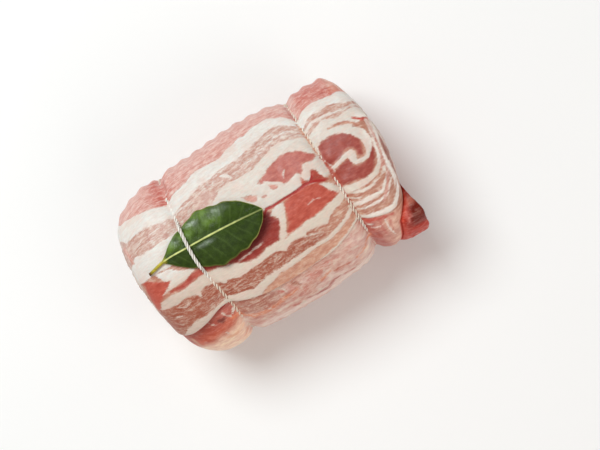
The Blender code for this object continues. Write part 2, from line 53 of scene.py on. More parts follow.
# The solids' source says what each value means. The crevice's reach and the clearance of the core's wall
# are smaller here, and the values with a comment are the scene's own.
FAR_SIDE = [(-83, 49.5), (-60, 51.6), (-46, 52.8), (-20, 54.6), (10, 56.4), (30, 56.2), (60, 55.6),
            (83, 54.0)]
NEAR_SIDE = [(-83, -55.0), (-60, -56.8), (-20, -56.6), (0, -57.2), (22, -55.2), (50, -53.2), (83, -50.0)]
TOP = [(-83, 82.0), (-60, 84.5), (-46, 85.0), (-20, 87.8), (10, 89.0), (30, 88.4), (60, 86.5), (83, 84.0)]
FOOT_SINK = 1.5
TOP_SQUARENESS = 2.3
BASE_SQUARENESS = 2.6
MEAN_RADIUS = 45.0

HALF_LENGTH = 82.5
LEFT_CUT = [-79.5, -80.4, -80.2, -77.4, -72.4, -76.0, -81.3, -81.3]
LEFT_EDGE = [32.0, 28.0, 24.0, 22.0, 18.0, 20.0, 24.0, 28.0]
LEFT_SHARE = [0.66, 0.70, 0.74, 0.70, 0.66, 0.70, 0.76, 0.70]
RIGHT_CUT = [71.0, 78.2, 80.7, 77.2, 71.4, 71.0, 76.0, 74.0]
RIGHT_EDGE = [4.0, 9.0, 14.0, 14.0, 14.0, 14.0, 14.0, 6.0]
RIGHT_SHARE = [0.95, 0.85, 0.74, 0.70, 0.68, 0.72, 0.78, 0.90]
END_REACH = 26.0

TWINE_RADIUS = 1.05
TWINE_ROW = 46.0
TWINE_REACH = (10.0, 30.0)
LEFT_LOOP = [-42.3, -43.2, -44.8, -39.8, -37.2, -39.0, -41.0, -42.0]
LEFT_BITE = [3.2, 2.4, 0.9, 2.6, 5.0, 5.8, 6.4, 5.8]
RIGHT_LOOP = [43.0, 44.2, 45.9, 47.2, 48.9, 48.0, 46.0, 44.0]
RIGHT_BITE = [4.2, 3.2, 3.2, 3.8, 7.2, 6.8, 6.4, 5.8]
WIDE_BITE = 8.0
NARROW_BITE = 2.6
KNOT_ANGLE = math.radians(322)
TAIL_LENGTH = 8.0
TAIL_AIMS = ((-0.75, 0.55, 0.45), (0.75, 0.55, -0.05))

FREE_EDGE = [(-83, -44.0), (-70, -40.0), (-57, -36.0), (-44, -33.0), (-36, -35.0), (-22, -38.0),
             (-5, -38.5), (10, -37.7), (25, -36.3), (38, -32.0), (46, -29.3), (54, -32.5), (64, -34.5),
             (83, -38.0)]
HIDDEN_EDGE = math.radians(258)
CREVICE = [(-83, -1.0), (-60, 2.5), (-30, 4.0), (0, 3.6), (20, 3.4), (37, 4.6), (44, 2.4), (83, 0.0)]
CREVICE_DEPTH = [(-83, 1.0), (-60, 1.2), (-10, 1.5), (2, 3.5), (15, 4.5), (38, 4.2), (44, 2.0), (50, 0.0)]
CREVICE_REACH = 0.5
CREVICE_SHARE = 0.12       # the share of its depth that stays open; wet edges of meat close the rest, and the crevice's shade is painted in its seam line
SLAB = 13.0
STEP = [(-83, 3.0), (-55, 2.8), (-42, 1.2), (0, 1.0), (30, 0.6), (83, 0.8)]
STEP_REACH = 15.0
LIP = (2.0, 1.6)
LUMPS = 0.7
LUMP_WAVES = [(9.1, 4, 0.0, 1.0), (14.3, -3, 0.4, 1.0), (5.7, 5, 1.3, 0.5)]
GAP = 0.45
EDGE_CLEAR = 0.006
UNDERLAP = 0.012           # the lower slice starts this far under the slab's free edge, as an angle
UPPER = 60.0

LOBE_ANGLE = math.radians(182)
LOBE_HUGS = (math.radians(33), math.radians(44))
LOBE_CLIMBS = (math.radians(46), math.radians(54))
LOBE_JUTS = (math.radians(34), math.radians(50))
LOBE_LEAVES = (math.radians(62), math.radians(76))
LOBE_END = 81.4
LOBE_BACK = 8.5
LOBE_SWELL = 8.0
LOBE_NOSE = 0.25
LOBE_RIM = 0.26
WALL_CLEAR = 0.15
LIP_SINK = 0.8             # how far the lobe's edge sinks into the lower slice's wet surface
RECESS = 3.0
DOME = 2.2

LEAF_STALK = (-72.0, -61.5)
LEAF_TIP = 2.2
LEAF_MIDRIB = [(-72.0, 4.0), (-61.5, 6.4), (-45.0, 6.7), (-20.0, 6.0), (2.2, 4.3)]
LEAF_FAR = [(0, 0.9), (0.06, 3.4), (0.13, 7.0), (0.21, 9.6), (0.32, 12.6), (0.45, 15.0), (0.55, 15.2),
            (0.7, 13.3), (0.8, 11.6), (0.89, 8.2), (0.95, 4.4), (1, 0.5)]
LEAF_NEAR = [(0, 0.9), (0.06, 4.6), (0.13, 8.4), (0.23, 12.2), (0.32, 15.2), (0.42, 17.6), (0.53, 18.4),
             (0.65, 17.2), (0.77, 14.6), (0.89, 10.4), (0.96, 5.2), (1, 0.5)]
LEAF_THICK = 0.5
STALK_THICK = 1.5
LEAF_CLEAR = 0.8
LEAF_WAVE = 0.5
LEAF_WAVE_REACH = 6.5
TIP_LIFT = 3.8
NEAR_LIFT = 1.8
LIFT_FROM = (0.55, 0.3)


def curve(points, at):
    """A smooth curve through a few (place, value) points, level beyond its ends."""
    places, values = np.array(points, float).T
    slopes = np.gradient(values, places)
    at = np.clip(at, places[0], places[-1])
    i = np.clip(np.searchsorted(places, at) - 1, 0, len(places) - 2)
    step = places[i + 1] - places[i]
    t = (at - places[i]) / step
    start = (1 + 2 * t) * (1 - t) ** 2 * values[i] + t * (1 - t) ** 2 * step * slopes[i]
    end = t * t * (3 - 2 * t) * values[i + 1] + t * t * (t - 1) * step * slopes[i + 1]
    return start + end


def ring(values, angle):
    """A smooth closed curve through values at equal steps of angle."""
    values = np.array(values, float)
    place = np.asarray(angle) / TURN * len(values)
    i = np.floor(place).astype(int)
    t = place - i
    before, here, there, after = (values[(i + k) % len(values)] for k in (-1, 0, 1, 2))
    bend = 2 * before - 5 * here + 4 * there - after
    twist = 3 * (here - there) + after - before
    return here + t / 2 * (there - before + t * (bend + t * twist))


def fade(value, full, none):
    """1 up to full, 0 from none on, and smooth between them."""
    t = np.clip((none - value) / (none - full), 0, 1)
    return t * t * (3 - 2 * t)


def body(x):
    """The plain section at x: the middle's y and z, half its width and half its height."""
    far, near, top = curve(FAR_SIDE, x), curve(NEAR_SIDE, x), curve(TOP, x)
    return (far + near) / 2, (top - FOOT_SINK) / 2, (far - near) / 2, (top + FOOT_SINK) / 2


def edge_rounding(depth, reach, share):
    """The share of the section that is left at a depth behind a cut."""
    t = 1 - np.clip(depth / reach, 0, 1)
    return share + (1 - share) * np.sqrt(1 - t * t)


def plain_radius(x, angle):
    """Distance from the axis to the body, as if it ran on beyond its ends."""
    _, _, width, height = body(x)
    power = np.where(np.sin(angle) >= 0, TOP_SQUARENESS, BASE_SQUARENESS)
    inverse = np.abs(np.cos(angle) / width) ** power + np.abs(np.sin(angle) / height) ** power
    return inverse ** (-1 / power)


def rounded_radius(x, angle):
    """The same with the body's rounded ends, still without relief."""
    left = edge_rounding(x - ring(LEFT_CUT, angle), ring(LEFT_EDGE, angle), ring(LEFT_SHARE, angle))
    right = edge_rounding(ring(RIGHT_CUT, angle) - x, ring(RIGHT_EDGE, angle), ring(RIGHT_SHARE, angle))
    return plain_radius(x, angle) * left * right


def bite(x, angle):
    """How deep the two loops of twine press the body in."""
    depth = 0
    for path, most in ((LEFT_LOOP, LEFT_BITE), (RIGHT_LOOP, RIGHT_BITE)):
        off = x - ring(path, angle)
        shape = np.exp(-((off / WIDE_BITE) ** 2)) + np.exp(-((off / NARROW_BITE) ** 2))
        depth = depth + ring(most, angle) * shape / 2
    return depth


def lumps(x, angle):
    """Low uneven swells all over the meat."""
    waves = [share * np.sin(x / reach + count * angle + phase) for reach, count, phase, share in LUMP_WAVES]
    return LUMPS * sum(waves) / len(LUMP_WAVES)


def angle_at(x, y, radius_at):
    """The angle, on the upper half, at which the body at x is over the plan line y."""
    middle, _, _, _ = body(x)
    angle = np.full(np.shape(x), QUARTER)
    for _ in range(30):
        cosine = np.clip((y - middle) / radius_at(x, angle), -1, 1)
        angle = (angle + np.arccos(cosine)) / 2
    return angle


def along(row, angle):
    """Where a row lies at an angle: rows bend with the slanted cuts and with the loops of twine."""
    left_end = fade(row, -HALF_LENGTH, END_REACH - HALF_LENGTH)
    right_end = fade(-row, -HALF_LENGTH, END_REACH - HALF_LENGTH)
    left_loop = fade(np.abs(row + TWINE_ROW), *TWINE_REACH)
    right_loop = fade(np.abs(row - TWINE_ROW), *TWINE_REACH)
    x = row + left_end * (ring(LEFT_CUT, angle) + HALF_LENGTH)
    x = x + right_end * (ring(RIGHT_CUT, angle) - HALF_LENGTH)
    x = x + left_loop * (ring(LEFT_LOOP, angle) + TWINE_ROW) * (1 - left_end)
    return x + right_loop * (ring(RIGHT_LOOP, angle) - TWINE_ROW) * (1 - right_end)


def lip(distance):
    """How deep a slab is rounded off near a long edge."""
    reach, depth = LIP
    t = 1 - np.clip(distance / reach, 0, 1)
    return depth * (1 - np.sqrt(1 - 0.96 * t * t))


def line_angle(points):
    """A plan line as a function of x that gives the angle at which the body carries it."""
    places = np.linspace(-HALF_LENGTH, HALF_LENGTH, 60)
    angles = angle_at(places, curve(points, places), plain_radius)
    return lambda x: np.interp(x, places, angles)


free_edge = line_angle(FREE_EDGE)
crevice_line = line_angle(CREVICE)


def outer_radius(x, angle):
    """The slab's outer surface, with its bites, crevice and lumps."""
    radius = rounded_radius(x, angle)
    off = (angle - crevice_line(x)) * radius
    crevice = CREVICE_SHARE * curve(CREVICE_DEPTH, x) * np.exp(-((off / CREVICE_REACH) ** 2))
    return radius - bite(x, angle) + lumps(x, angle) - crevice


def flank_radius(x, angle):
    """The lower slice's outer surface, which starts a step below the slab's free edge."""
    radius = outer_radius(x, angle)
    down = (angle - free_edge(x)) * radius
    return radius - curve(STEP, x) * fade(down, 0, STEP_REACH)


def inner_radius(x, angle):
    """The inside of the slab and of the lower slice."""
    radius = plain_radius(x, angle)
    return rounded_radius(x, angle) * (radius - SLAB) / radius - 0.8 * bite(x, angle)


def on_body(x, angle, radius):
    """Points at a radius from the axis, none of them below the table."""
    middle_y, middle_z, _, _ = body(x)
    y = middle_y + radius * np.cos(angle)
    z = np.maximum(middle_z + radius * np.sin(angle), 0)
    return np.stack(np.broadcast_arrays(x, y, z), axis=-1)


def bend_row(row, angles_at):
    """A row's x and angles, which hang on each other where the edges wander."""
    angles = angles_at(row)
    for _ in range(4):
        angles = angles_at(along(row, angles))
    return along(row, angles), angles


# ---------------------------------------------------------------- noise and small tools

LATTICE = 32
lattice = np.random.default_rng(7).random((LATTICE, LATTICE, LATTICE))


def noise(x, y, z=0.0, seed=0.0):
    """Smooth noise between -1 and 1 with one swell to each unit of its coordinates."""
    place = np.stack(np.broadcast_arrays(np.asarray(x) + seed * 3.7, np.asarray(y) + seed * 5.3,
                                         np.asarray(z) + seed * 1.9), axis=-1)
    cell = np.floor(place).astype(int)
    t = place - cell
    t = t * t * (3 - 2 * t)
    total = 0
    for corner in np.ndindex(2, 2, 2):
        at = (cell + corner) % LATTICE
        weight = np.prod(np.where(np.array(corner) == 1, t, 1 - t), axis=-1)
        total = total + weight * lattice[at[..., 0], at[..., 1], at[..., 2]]
    return 2 * total - 1


def rise(value, low, high):
    """0 below low, 1 above high, and smooth between them."""
    t = np.clip((value - low) / (high - low), 0, 1)
    return t * t * (3 - 2 * t)


def colour(code):
    """A screen colour in hexadecimal as linear red, green and blue."""
    parts = np.array([int(code[i:i + 2], 16) for i in (0, 2, 4)]) / 255
    return np.where(parts <= 0.04045, parts / 12.92, ((parts + 0.055) / 1.055) ** 2.4)


def over(base, paint, share):
    """Paint laid over a base by a share for each point."""
    return base + (np.asarray(paint) - base) * np.asarray(share)[..., None]


# ---------------------------------------------------------------- places on the sheet of meat

EYE = np.array([15.86, -14.05])      # the point of the table straight under the eye
EYE_HEIGHT = 1002.0
PICTURE_HEIGHT = 45.0                # height at which a millimetre of the drawing is a real one
SECTION_HALVES = (56, 45)            # half the width and half the height of the section that is unrolled
SECTION_SPAN = (-130, 270)           # its angles in degrees
SECTION_COUNT = 801


def section_table():
    """Angles round the section, and the length from its top to each of them."""
    angles = np.radians(np.linspace(*SECTION_SPAN, SECTION_COUNT))
    width, height = SECTION_HALVES
    power = np.where(np.sin(angles) >= 0, TOP_SQUARENESS, BASE_SQUARENESS)
    inverse = np.abs(np.cos(angles) / width) ** power + np.abs(np.sin(angles) / height) ** power
    radius = inverse ** (-1 / power)
    steps = np.hypot(np.diff(radius * np.cos(angles)), np.diff(radius * np.sin(angles)))
    lengths = np.concatenate([[0], np.cumsum(steps)])
    return angles, np.interp(QUARTER, angles, lengths) - lengths


section_angles, section_lengths = section_table()


def sheet_place(angle):
    """Length round the section from its top, positive to the far side."""
    return np.interp(angle, section_angles, section_lengths)


def drawn(*points):
    """Points of the drawing as places on the sheet: x, and the length round the section."""
    seen = np.array(points, float)
    height = np.full(len(seen), 80.0)
    for _ in range(6):
        real = EYE + (seen - EYE) * (EYE_HEIGHT - height)[:, None] / (EYE_HEIGHT - PICTURE_HEIGHT)
        angle = angle_at(real[:, 0], real[:, 1], rounded_radius)
        _, middle, _, _ = body(real[:, 0])
        height = middle + rounded_radius(real[:, 0], angle) * np.sin(angle)
    return np.stack([real[:, 0], sheet_place(angle)], axis=1)


def edge(*points):
    """A long edge of a band as a function of x."""
    places = drawn(*points)
    places = places[np.argsort(places[:, 0])]
    return lambda x: np.interp(x, places[:, 0], places[:, 1])


def stripe(place, line, widths):
    """Distance inside (positive) or outside a line whose width changes from point to point."""
    line = np.array(line, float)
    half = np.broadcast_to(np.asarray(widths, float), len(line)) / 2
    best = np.full(place.shape[:-1], -1e3)
    for start, end, thin, thick in zip(line, line[1:], half, half[1:]):
        run = end - start
        share = np.clip(((place - start) @ run) / max(run @ run, 1e-9), 0, 1)
        off = np.linalg.norm(place - start - share[..., None] * run, axis=-1)
        best = np.maximum(best, thin + (thick - thin) * share - off)
    return best


def on_lines(place, lines):
    """Distance inside (positive) or outside the nearest of a few lines, each given with its widths."""
    return np.max([stripe(place, line, widths) for line, widths in lines], axis=0)


def patch(place, outline):
    """Distance inside (positive) or outside a closed outline."""
    outline = np.array(outline, float)
    inside = np.zeros(place.shape[:-1], bool)
    for (ax, ay), (bx, by) in zip(outline, np.roll(outline, -1, axis=0)):
        crosses = (ay > place[..., 1]) != (by > place[..., 1])
        slope = np.where(ay != by, (bx - ax) / (by - ay if by != ay else 1), 0)
        inside ^= crosses & (place[..., 0] < ax + slope * (place[..., 1] - ay))
    off = -stripe(place, np.vstack([outline, outline[:1]]), 0)
    return np.where(inside, off, -off)


def between(s, upper, lower):
    """Distance inside (positive) or outside a band."""
    return np.minimum(upper - s, s - lower)


# ---------------------------------------------------------------- bands of fat and lean on the slab

PALE_EDGE = edge(   # pale lean of the far side above, first white band below
    (-80, 36), (-76, 38), (-70, 39), (-63, 38.5), (-58, 38), (-50, 37), (-46.5, 36.5), (-45, 38), (-40, 40),
    (-35, 40.5), (-30, 41), (-26, 43), (-22, 44), (-15, 43.5), (-5, 44), (-3, 45), (0, 46.5), (5, 47),
    (10, 48.5), (13, 48), (16, 49), (20, 49.8), (30, 50), (34, 48), (38, 47), (42, 44.5), (44, 41.5),
    (46, 42), (50, 43.8), (55, 44.3), (60, 44), (70, 43.2), (76, 42.5))
FIRST_WHITE_EDGE = edge(   # first white band above, streaky lean below
    (-81, 30), (-78, 27.5), (-74, 28.5), (-63, 30), (-57, 29), (-50, 28), (-46.5, 28), (-45, 30), (-40, 31),
    (-36, 32), (-32, 32.5), (-28, 34), (-24, 35), (-18, 35.5), (-13, 36.5), (-8, 38), (0, 38.5), (5, 38.5),
    (10, 40), (15, 41), (20, 42), (24, 43.5), (28, 44), (33, 43.5), (36, 42), (40, 40), (44, 37.5),
    (46, 36), (50, 38), (55, 39), (60, 38.3), (65, 39), (70, 37.5), (75, 35.5), (80, 32.5))
STREAKY_EDGE = edge(   # streaky lean above, second white band below
    (-80.5, 15), (-78, 18), (-74, 17), (-70, 17.5), (-57, 18.5), (-50, 19.5), (-46, 20.5), (-36, 21.5),
    (-28, 22), (-22, 23), (-18, 25), (-15, 28), (-10, 28.5), (0, 28.3), (8, 28.5), (12, 30), (16, 31.5),
    (20, 32.5), (24, 34.5), (30, 34.5), (35, 33), (40, 31.5), (46, 30), (50, 31), (54, 32), (58, 33),
    (62, 31.5), (66, 30), (74, 31), (80, 29))
SECOND_WHITE_EDGE = edge(   # second white band above, whatever lies round the crevice below
    (-82, 2.5), (-79, 2.5), (-75, 3.5), (-64, 3), (-46, 4), (-10, 4), (3, 4), (45, 3), (46, 16), (49, 22),
    (52, 22.8), (58, 23), (63, 21.5), (66, 19.5), (83, 19))
THIRD_WHITE_TOP = edge(
    (-79, -13), (-70, -12), (-62, -12.8), (-54, -11.3), (-46, -11), (-40, -12), (-34, -13), (-27, -15.5),
    (-20, -18), (-14, -18), (-8, -16), (0, -15.5), (5, -16.5), (12, -15), (20, -13.5), (27, -14),
    (33, -12.5), (38, -11.5), (44, -10.5), (48, -8.2), (54, -8.2), (60, -9.5))
THIRD_WHITE_EDGE = edge(
    (-78, -17.5), (-70, -18.5), (-64, -17.5), (-57, -19), (-50, -17.5), (-46, -18.5), (-42, -20),
    (-39, -22.7), (-37, -21), (-30, -23.2), (-18, -21.6), (-7, -20.4), (-4, -20.2), (1.3, -23.2),
    (4.2, -20.8), (8.9, -19.9), (15.5, -21.3), (17.3, -19.2), (25.8, -20.4), (30.5, -21.6), (34.3, -18),
    (39, -16.6), (46, -14.7), (50, -12.5), (56, -13))
FOURTH_WHITE_TOP = edge(
    (-76, -36), (-72, -33.6), (-66, -32.2), (-60, -32.4), (-54, -31.8), (-46, -31), (-41, -30.6),
    (-26, -32.9), (-17.5, -30.7), (-0.6, -29.6), (10.7, -28.4), (25.8, -28.4), (35.2, -25.4), (41.8, -23.2),
    (46.5, -20.8))
FOURTH_WHITE_EDGE = edge(
    (-76, -40), (-68, -38.5), (-60, -38), (-50, -36.5), (-42, -34.8), (-33.5, -37.1), (-24.1, -38.5),
    (-19.4, -35.9), (-11.8, -34), (-8.1, -32.6), (-0.5, -32.6), (7, -31.7), (13.6, -30.5), (27.7, -30.3),
    (37.1, -27.4), (46.5, -23.7))

# Closed outlines and lines of changing width, each drawn as the eye above sees it.
RED_PATCHES = [   # outline, colour
    (drawn((6, 19.5), (10, 21.5), (15, 24), (20, 26), (26, 27.3), (31, 27), (36, 25), (40, 22), (44, 19),
           (45, 17), (41, 15.5), (37, 16.5), (35, 16), (33, 12.5), (31, 11.5), (30, 13.5), (27, 13),
           (24, 11.5), (20, 11.8), (18.5, 13.5), (15, 16), (11, 17.5), (8, 18.5)), 'lens'),
    (drawn((14, 2), (20, 4), (30, 4.5), (36, 3.5), (39, 0), (40, -3), (44, -7), (46, -9), (44, -10),
           (40, -11.5), (35, -11.5), (32, -13), (26, -14), (20, -13.5), (15, -15), (8, -16), (7, -14),
           (10.5, -10), (12, -5)), 'red'),
    (drawn((3, 3.5), (5, 0), (5, -3), (7, -4.5), (6, -8), (3, -12), (1, -15.5), (-10, -16), (-16, -18.5),
           (-22, -17.5), (-30, -14), (-36, -12.5), (-46, -10), (-46, 2), (-20, 3)), 'red_deep'),
    (drawn((-81.5, 2.5), (-79, 2.5), (-75, 0), (-70, -3), (-66, -4.5), (-70, -8), (-74, -10), (-78, -13),
           (-79.5, -16), (-82.5, -16)), 'red'),
    (drawn((-71, -9.3), (-62, -9.3), (-55, -7), (-48, -6.5), (-46, -10.5), (-54, -11), (-62, -12.4),
           (-70, -11)), 'rust'),
    (drawn((28, 5.5), (30, 10.5), (31.5, 7), (33.5, 5.5)), 'red'),
    (drawn((33.5, 5), (36, 8.5), (37.5, 11.5), (39, 11), (41, 7), (42.5, 3.5), (44.5, 1), (38, 1)), 'rust'),
    (drawn((-6, 17), (-1, 16), (2.5, 13.5), (1, 11), (-1.5, 11), (-4, 13.5)), 'pink'),
    (drawn((4, 11.8), (7.5, 11.6), (8, 10.4), (5, 10.4)), 'lens'),
    (drawn((11, 16), (15, 15), (17.5, 12.5), (15, 11.5), (12, 12.5)), 'pink'),
    (drawn((48, 22), (52, 22.8), (58, 23), (63, 21.5), (66, 19.5), (69, 17), (71, 14), (71.3, 10),
           (70, 6), (68.8, 3.5), (66.5, 4.5), (66, 9), (64, 11), (60, 11), (58, 9), (54, 8), (48, 7),
           (46, 12)), 'swirl'),
    (drawn((47, 3.5), (50, 3.6), (54, 4.8), (58, 5.6), (61, 5.2), (61.5, 2.5), (60, 0.5), (63, -0.5),
           (68, -0.5), (71, 0.5), (72.3, 4), (74.3, 8.7), (75.6, 8), (76.3, 4), (75, 0), (72, -5),
           (68, -8.5), (62, -9.5), (60, -8), (54, -7.5), (47, -7)), 'swirl'),
]
WHITE_PATCHES = [
    drawn((14, 2.5), (12.5, -2), (10.5, -6), (9, -10), (7, -13), (6, -16), (0.5, -16), (3, -12.5),
          (5.5, -9), (7, -5), (6, -2), (3.5, -1), (6, 1.5), (9, 3)),
    drawn((38, 1), (41, 0.5), (46, -4), (47.5, -8.5), (45, -9), (41, -4.5)),
    drawn((-73, 3), (-64, 2), (-58, -2.5), (-50, -5), (-57, -8), (-70, -9), (-75, -10), (-66, -4.5),
          (-70, -3)),
    drawn((44, 3), (50, 3), (50, 6), (46, 16), (44, 16)),
]
WHITE_LINES = [   # points, widths
    (drawn((60, 25), (66, 22), (70, 19), (73.8, 15), (75, 10), (73.6, 5), (71, 1.5), (67, 0.8), (63, 1.5),
           (62.5, 5), (63, 7.5), (60, 8.2), (55, 6.8), (49, 5.2)),
     (4, 4.2, 4.8, 6, 5.4, 3.4, 2, 2, 2.6, 4.5, 4.5, 3, 2, 1.6)),
    (drawn((79.5, 26), (80.5, 18), (80, 12), (78, 6), (77.6, 1), (76, -4), (72.5, -8), (68, -10.2),
           (60, -11), (50, -10.5)), (2, 2, 2.2, 2.4, 2.6, 3, 3, 3, 3.2, 3.6)),
    (drawn((82.6, 24), (82.4, 16), (81.4, 9), (79.8, 3), (79.2, -3), (78.9, -10), (78.2, -18), (76.4, -24.5),
           (73.5, -28.8), (70, -31.8), (65, -32.8), (60, -32.1), (55, -30.9), (50, -30), (47, -29.6)),
     (1.2, 1.4, 1.5, 1.6, 1.8, 2.2, 2.6, 3.4, 3.6, 3.7, 3.9, 3.5, 2.9, 3.1, 3)),
    (drawn((47, -20.5), (54, -20.8), (62, -21), (68, -21), (73, -16), (78, -11)), (2.4, 2.6, 2.6, 2, 1.6, 1)),
    (drawn((47, -15), (53, -17.7), (60, -20), (66, -20.5)), (0.7, 0.9, 0.9, 1.2)),
    (drawn((50, -12.5), (58, -15), (64, -15.2), (70, -13)), (0.8, 2.2, 1.6, 1)),
    (drawn((48, -24), (56, -25), (64, -25.5), (70, -24), (76, -17)), (0.8, 1.2, 1.8, 1.4, 1)),
    (drawn((12, 34), (20, 36.5), (28, 38.5), (36, 38), (43, 34.5)), (0.3, 0.7, 0.9, 0.8, 0.6)),
    (drawn((4, 33.5), (14, 33.8), (22, 35.8), (33, 36), (42, 32.5)), (0.2, 0.5, 0.5, 0.5, 0.4)),
    (drawn((-46, 29.7), (-38, 29.3), (-30, 30.5), (-23, 31.8), (-14, 34)), (0.6, 1, 0.6, 0.5, 0.2)),
    (drawn((-10, 34), (-7, 32.5), (-5, 30.8)), (1.5, 2, 1)),
    (drawn((46, 33.5), (52, 35), (60, 34.6), (66, 33.4), (73, 32.6), (80, 30.5)),
     (2.2, 1.8, 1.6, 1.4, 1.2, 1)),
    (drawn((10, 18.3), (14, 15.5), (18.5, 12)), (1, 1.3, 1.2)),
    (drawn((24, 19), (22.5, 17), (21.5, 15)), (0.4, 0.8, 0.5)),
    (drawn((12, -38.3), (20, -38), (28, -37.2), (35, -35.6), (41, -33.4), (46, -30.8)),
     (0.6, 1, 1.1, 1.2, 1.4, 1.4)),
    (drawn((-26, -14.5), (-18, -13.5), (-8, -12)), (0.5, 0.8, 0.5)),
    (drawn((-70, -20.8), (-66, -22.3), (-62, -20.8)), (0.4, 0.8, 0.5)),
    (drawn((-74, -25), (-71, -25.6)), (0.6, 0.8)),
    (drawn((-56, -18), (-55.5, -20.5)), (2.4, 1.6)),
    (drawn((15, -21.5), (20, -22.7), (26, -24.5)), (0.5, 0.6, 0.3)),
    (drawn((26, -6), (30, -5.2), (34, -6)), (0.25, 0.35, 0.2)),
]
LEAN_LINES = [   # points, widths, colour: laid over the white
    (drawn((58.5, 26.8), (65, 26.4), (70, 24.5), (74.5, 21), (77.5, 16.5), (78.5, 11)),
     (1, 2, 2, 1.5, 1, 0.5), 'brown'),
    (drawn((73.5, 25.6), (78, 22), (82, 19.2)), (1.1, 2, 1.6), 'bright'),
    (drawn((80.6, 20), (80.2, 14), (79.4, 6), (78, -2), (75.5, -7.5), (72, -11)),
     (0.8, 1.2, 1.4, 1.6, 2, 1.2), 'pink'),
    (drawn((74, -10), (70, -12), (66, -13), (61, -13.2)), (1.2, 1.8, 1.4, 0.8), 'brown'),
    (drawn((83.2, 9), (82.6, 5), (82, 0), (81.6, -8), (81.2, -16), (80.2, -22)),
     (0.8, 2, 3, 3.4, 3, 1.2), 'end'),
    (drawn((48, -22.8), (56, -23.2), (66, -23.4)), (0.9, 1.3, 0.5), 'brown'),
    (drawn((66, -26.5), (71, -21.5), (76, -13.5), (77.8, -6)), (1.2, 2, 1.8, 0.8), 'pink'),
    (drawn((47, -24.5), (55, -27.3), (62, -29.2), (68, -28.7), (74, -25.5), (78.5, -19)),
     (2, 2.8, 3, 2.8, 2.2, 0.8), 'brown'),
    (drawn((47, -17), (54, -19.2), (60, -18.4), (66, -18), (72, -15)), (1.6, 1.6, 2, 2.4, 1.2), 'brown'),
    (drawn((-81, 26), (-80.5, 20), (-80, 15)), (1.4, 1.8, 1), 'pink'),
    (drawn((46, 17), (47, 11), (47.8, 7), (48, 0), (48, -4), (48, -8)),
     (0.6, 1.4, 2.6, 2.8, 2.4, 0.8), 'strip'),
    (drawn((48, -6), (48.2, -15), (48.2, -25), (48.3, -32)), (1.4, 1.6, 2, 1.8), 'rust'),
    (drawn((43.5, 40), (44.6, 33), (45.2, 26), (45.6, 18)), (1.2, 1.5, 1.4, 1.2), 'tan'),
    (drawn((42.4, 53), (43, 49), (44.4, 43)), (0.8, 1.2, 0.5), 'strip'),
    (drawn((-41, 51), (-42, 46), (-44, 41)), (0.5, 0.8, 0.4), 'strip'),
    (drawn((-46.4, -11), (-45.4, -17), (-44.2, -24), (-43, -31)), (0.4, 1, 1.2, 0.8), 'tan'),
]
DARK_LINES = [   # points, widths: deep seams, painted deep red with the crevice's shade painted in
    (drawn((1.5, 2), (3.5, 4), (8, 3.6), (12, 4), (18, 4.1), (24, 4.3), (30, 5), (33, 4.9), (36, 4.2),
           (39, 3), (42, 1.5)), (0.8, 1.4, 1.1, 1, 1, 1.2, 1.5, 1.4, 1.2, 1, 0.5)),
    (drawn((33, 5), (35.5, 6.5), (37.5, 10)), (0.8, 1, 0.5)),
]

PAINTS = {name: colour(code) for name, code in {
    'fat': 'E4E0DA', 'fat_bright': 'FBF6EE', 'fat_mid': 'D9D1C7', 'fat_left': 'CFBDAD', 'fat_low': 'DACCBC',
    'fat_pink': 'DFC3B6', 'pale': 'D69C90', 'pale_red': 'C86A5C', 'soft': 'C99F90', 'brown': 'C0856E',
    'deep': 'A85E46', 'tan': 'CE967C', 'peach': 'EDB28E', 'red': 'BC5240', 'red_deep': '962A1C',
    'swirl': 'A04438', 'lens': 'BA665A', 'rust': 'AE4636', 'bright': 'C64330', 'pink': 'D49889',
    'shade': '780C06', 'seam': 'A81C16', 'salmon': 'C25C42', 'film': 'EAD2C6', 'lilac': 'D2A092',
    'wine': '6C1A08', 'strip': 'B25240', 'cream': 'F3CBB0', 'veil': 'D5A08F', 'orange': 'DC8058',
    'end': '9A4426', 'core': '9E2016', 'crimson': '780E06', 'coral': 'BE2E14', 'rim': 'B4604C',
    'pit': 'CE8A80', 'leaf': '2E4010', 'leaf_lit': '5E7A2C', 'leaf_shaded': '2B390F', 'vein': '6C8444',
    'painted_sheen': 'A4B4A4', 'midrib': 'C5CB80', 'leaf_rim': 'ABA45A', 'stalk': 'B0A238', 'stalk_tip': '5A2A16',
    'twine': 'EAE2D0', 'twine_bright': 'FFFEFA', 'twine_wet': 'D2AC88', 'twine_shade': '6E6250',
    'twine_stain': '8A4030',
}.items()}


def painted(base, shape, coats=()):
    """One paint for every point, with coats of other paints laid over it by their shares."""
    colours = np.broadcast_to(PAINTS[base], shape + (3,))
    for name, share in coats:
        colours = over(colours, PAINTS[name], share)
    return colours
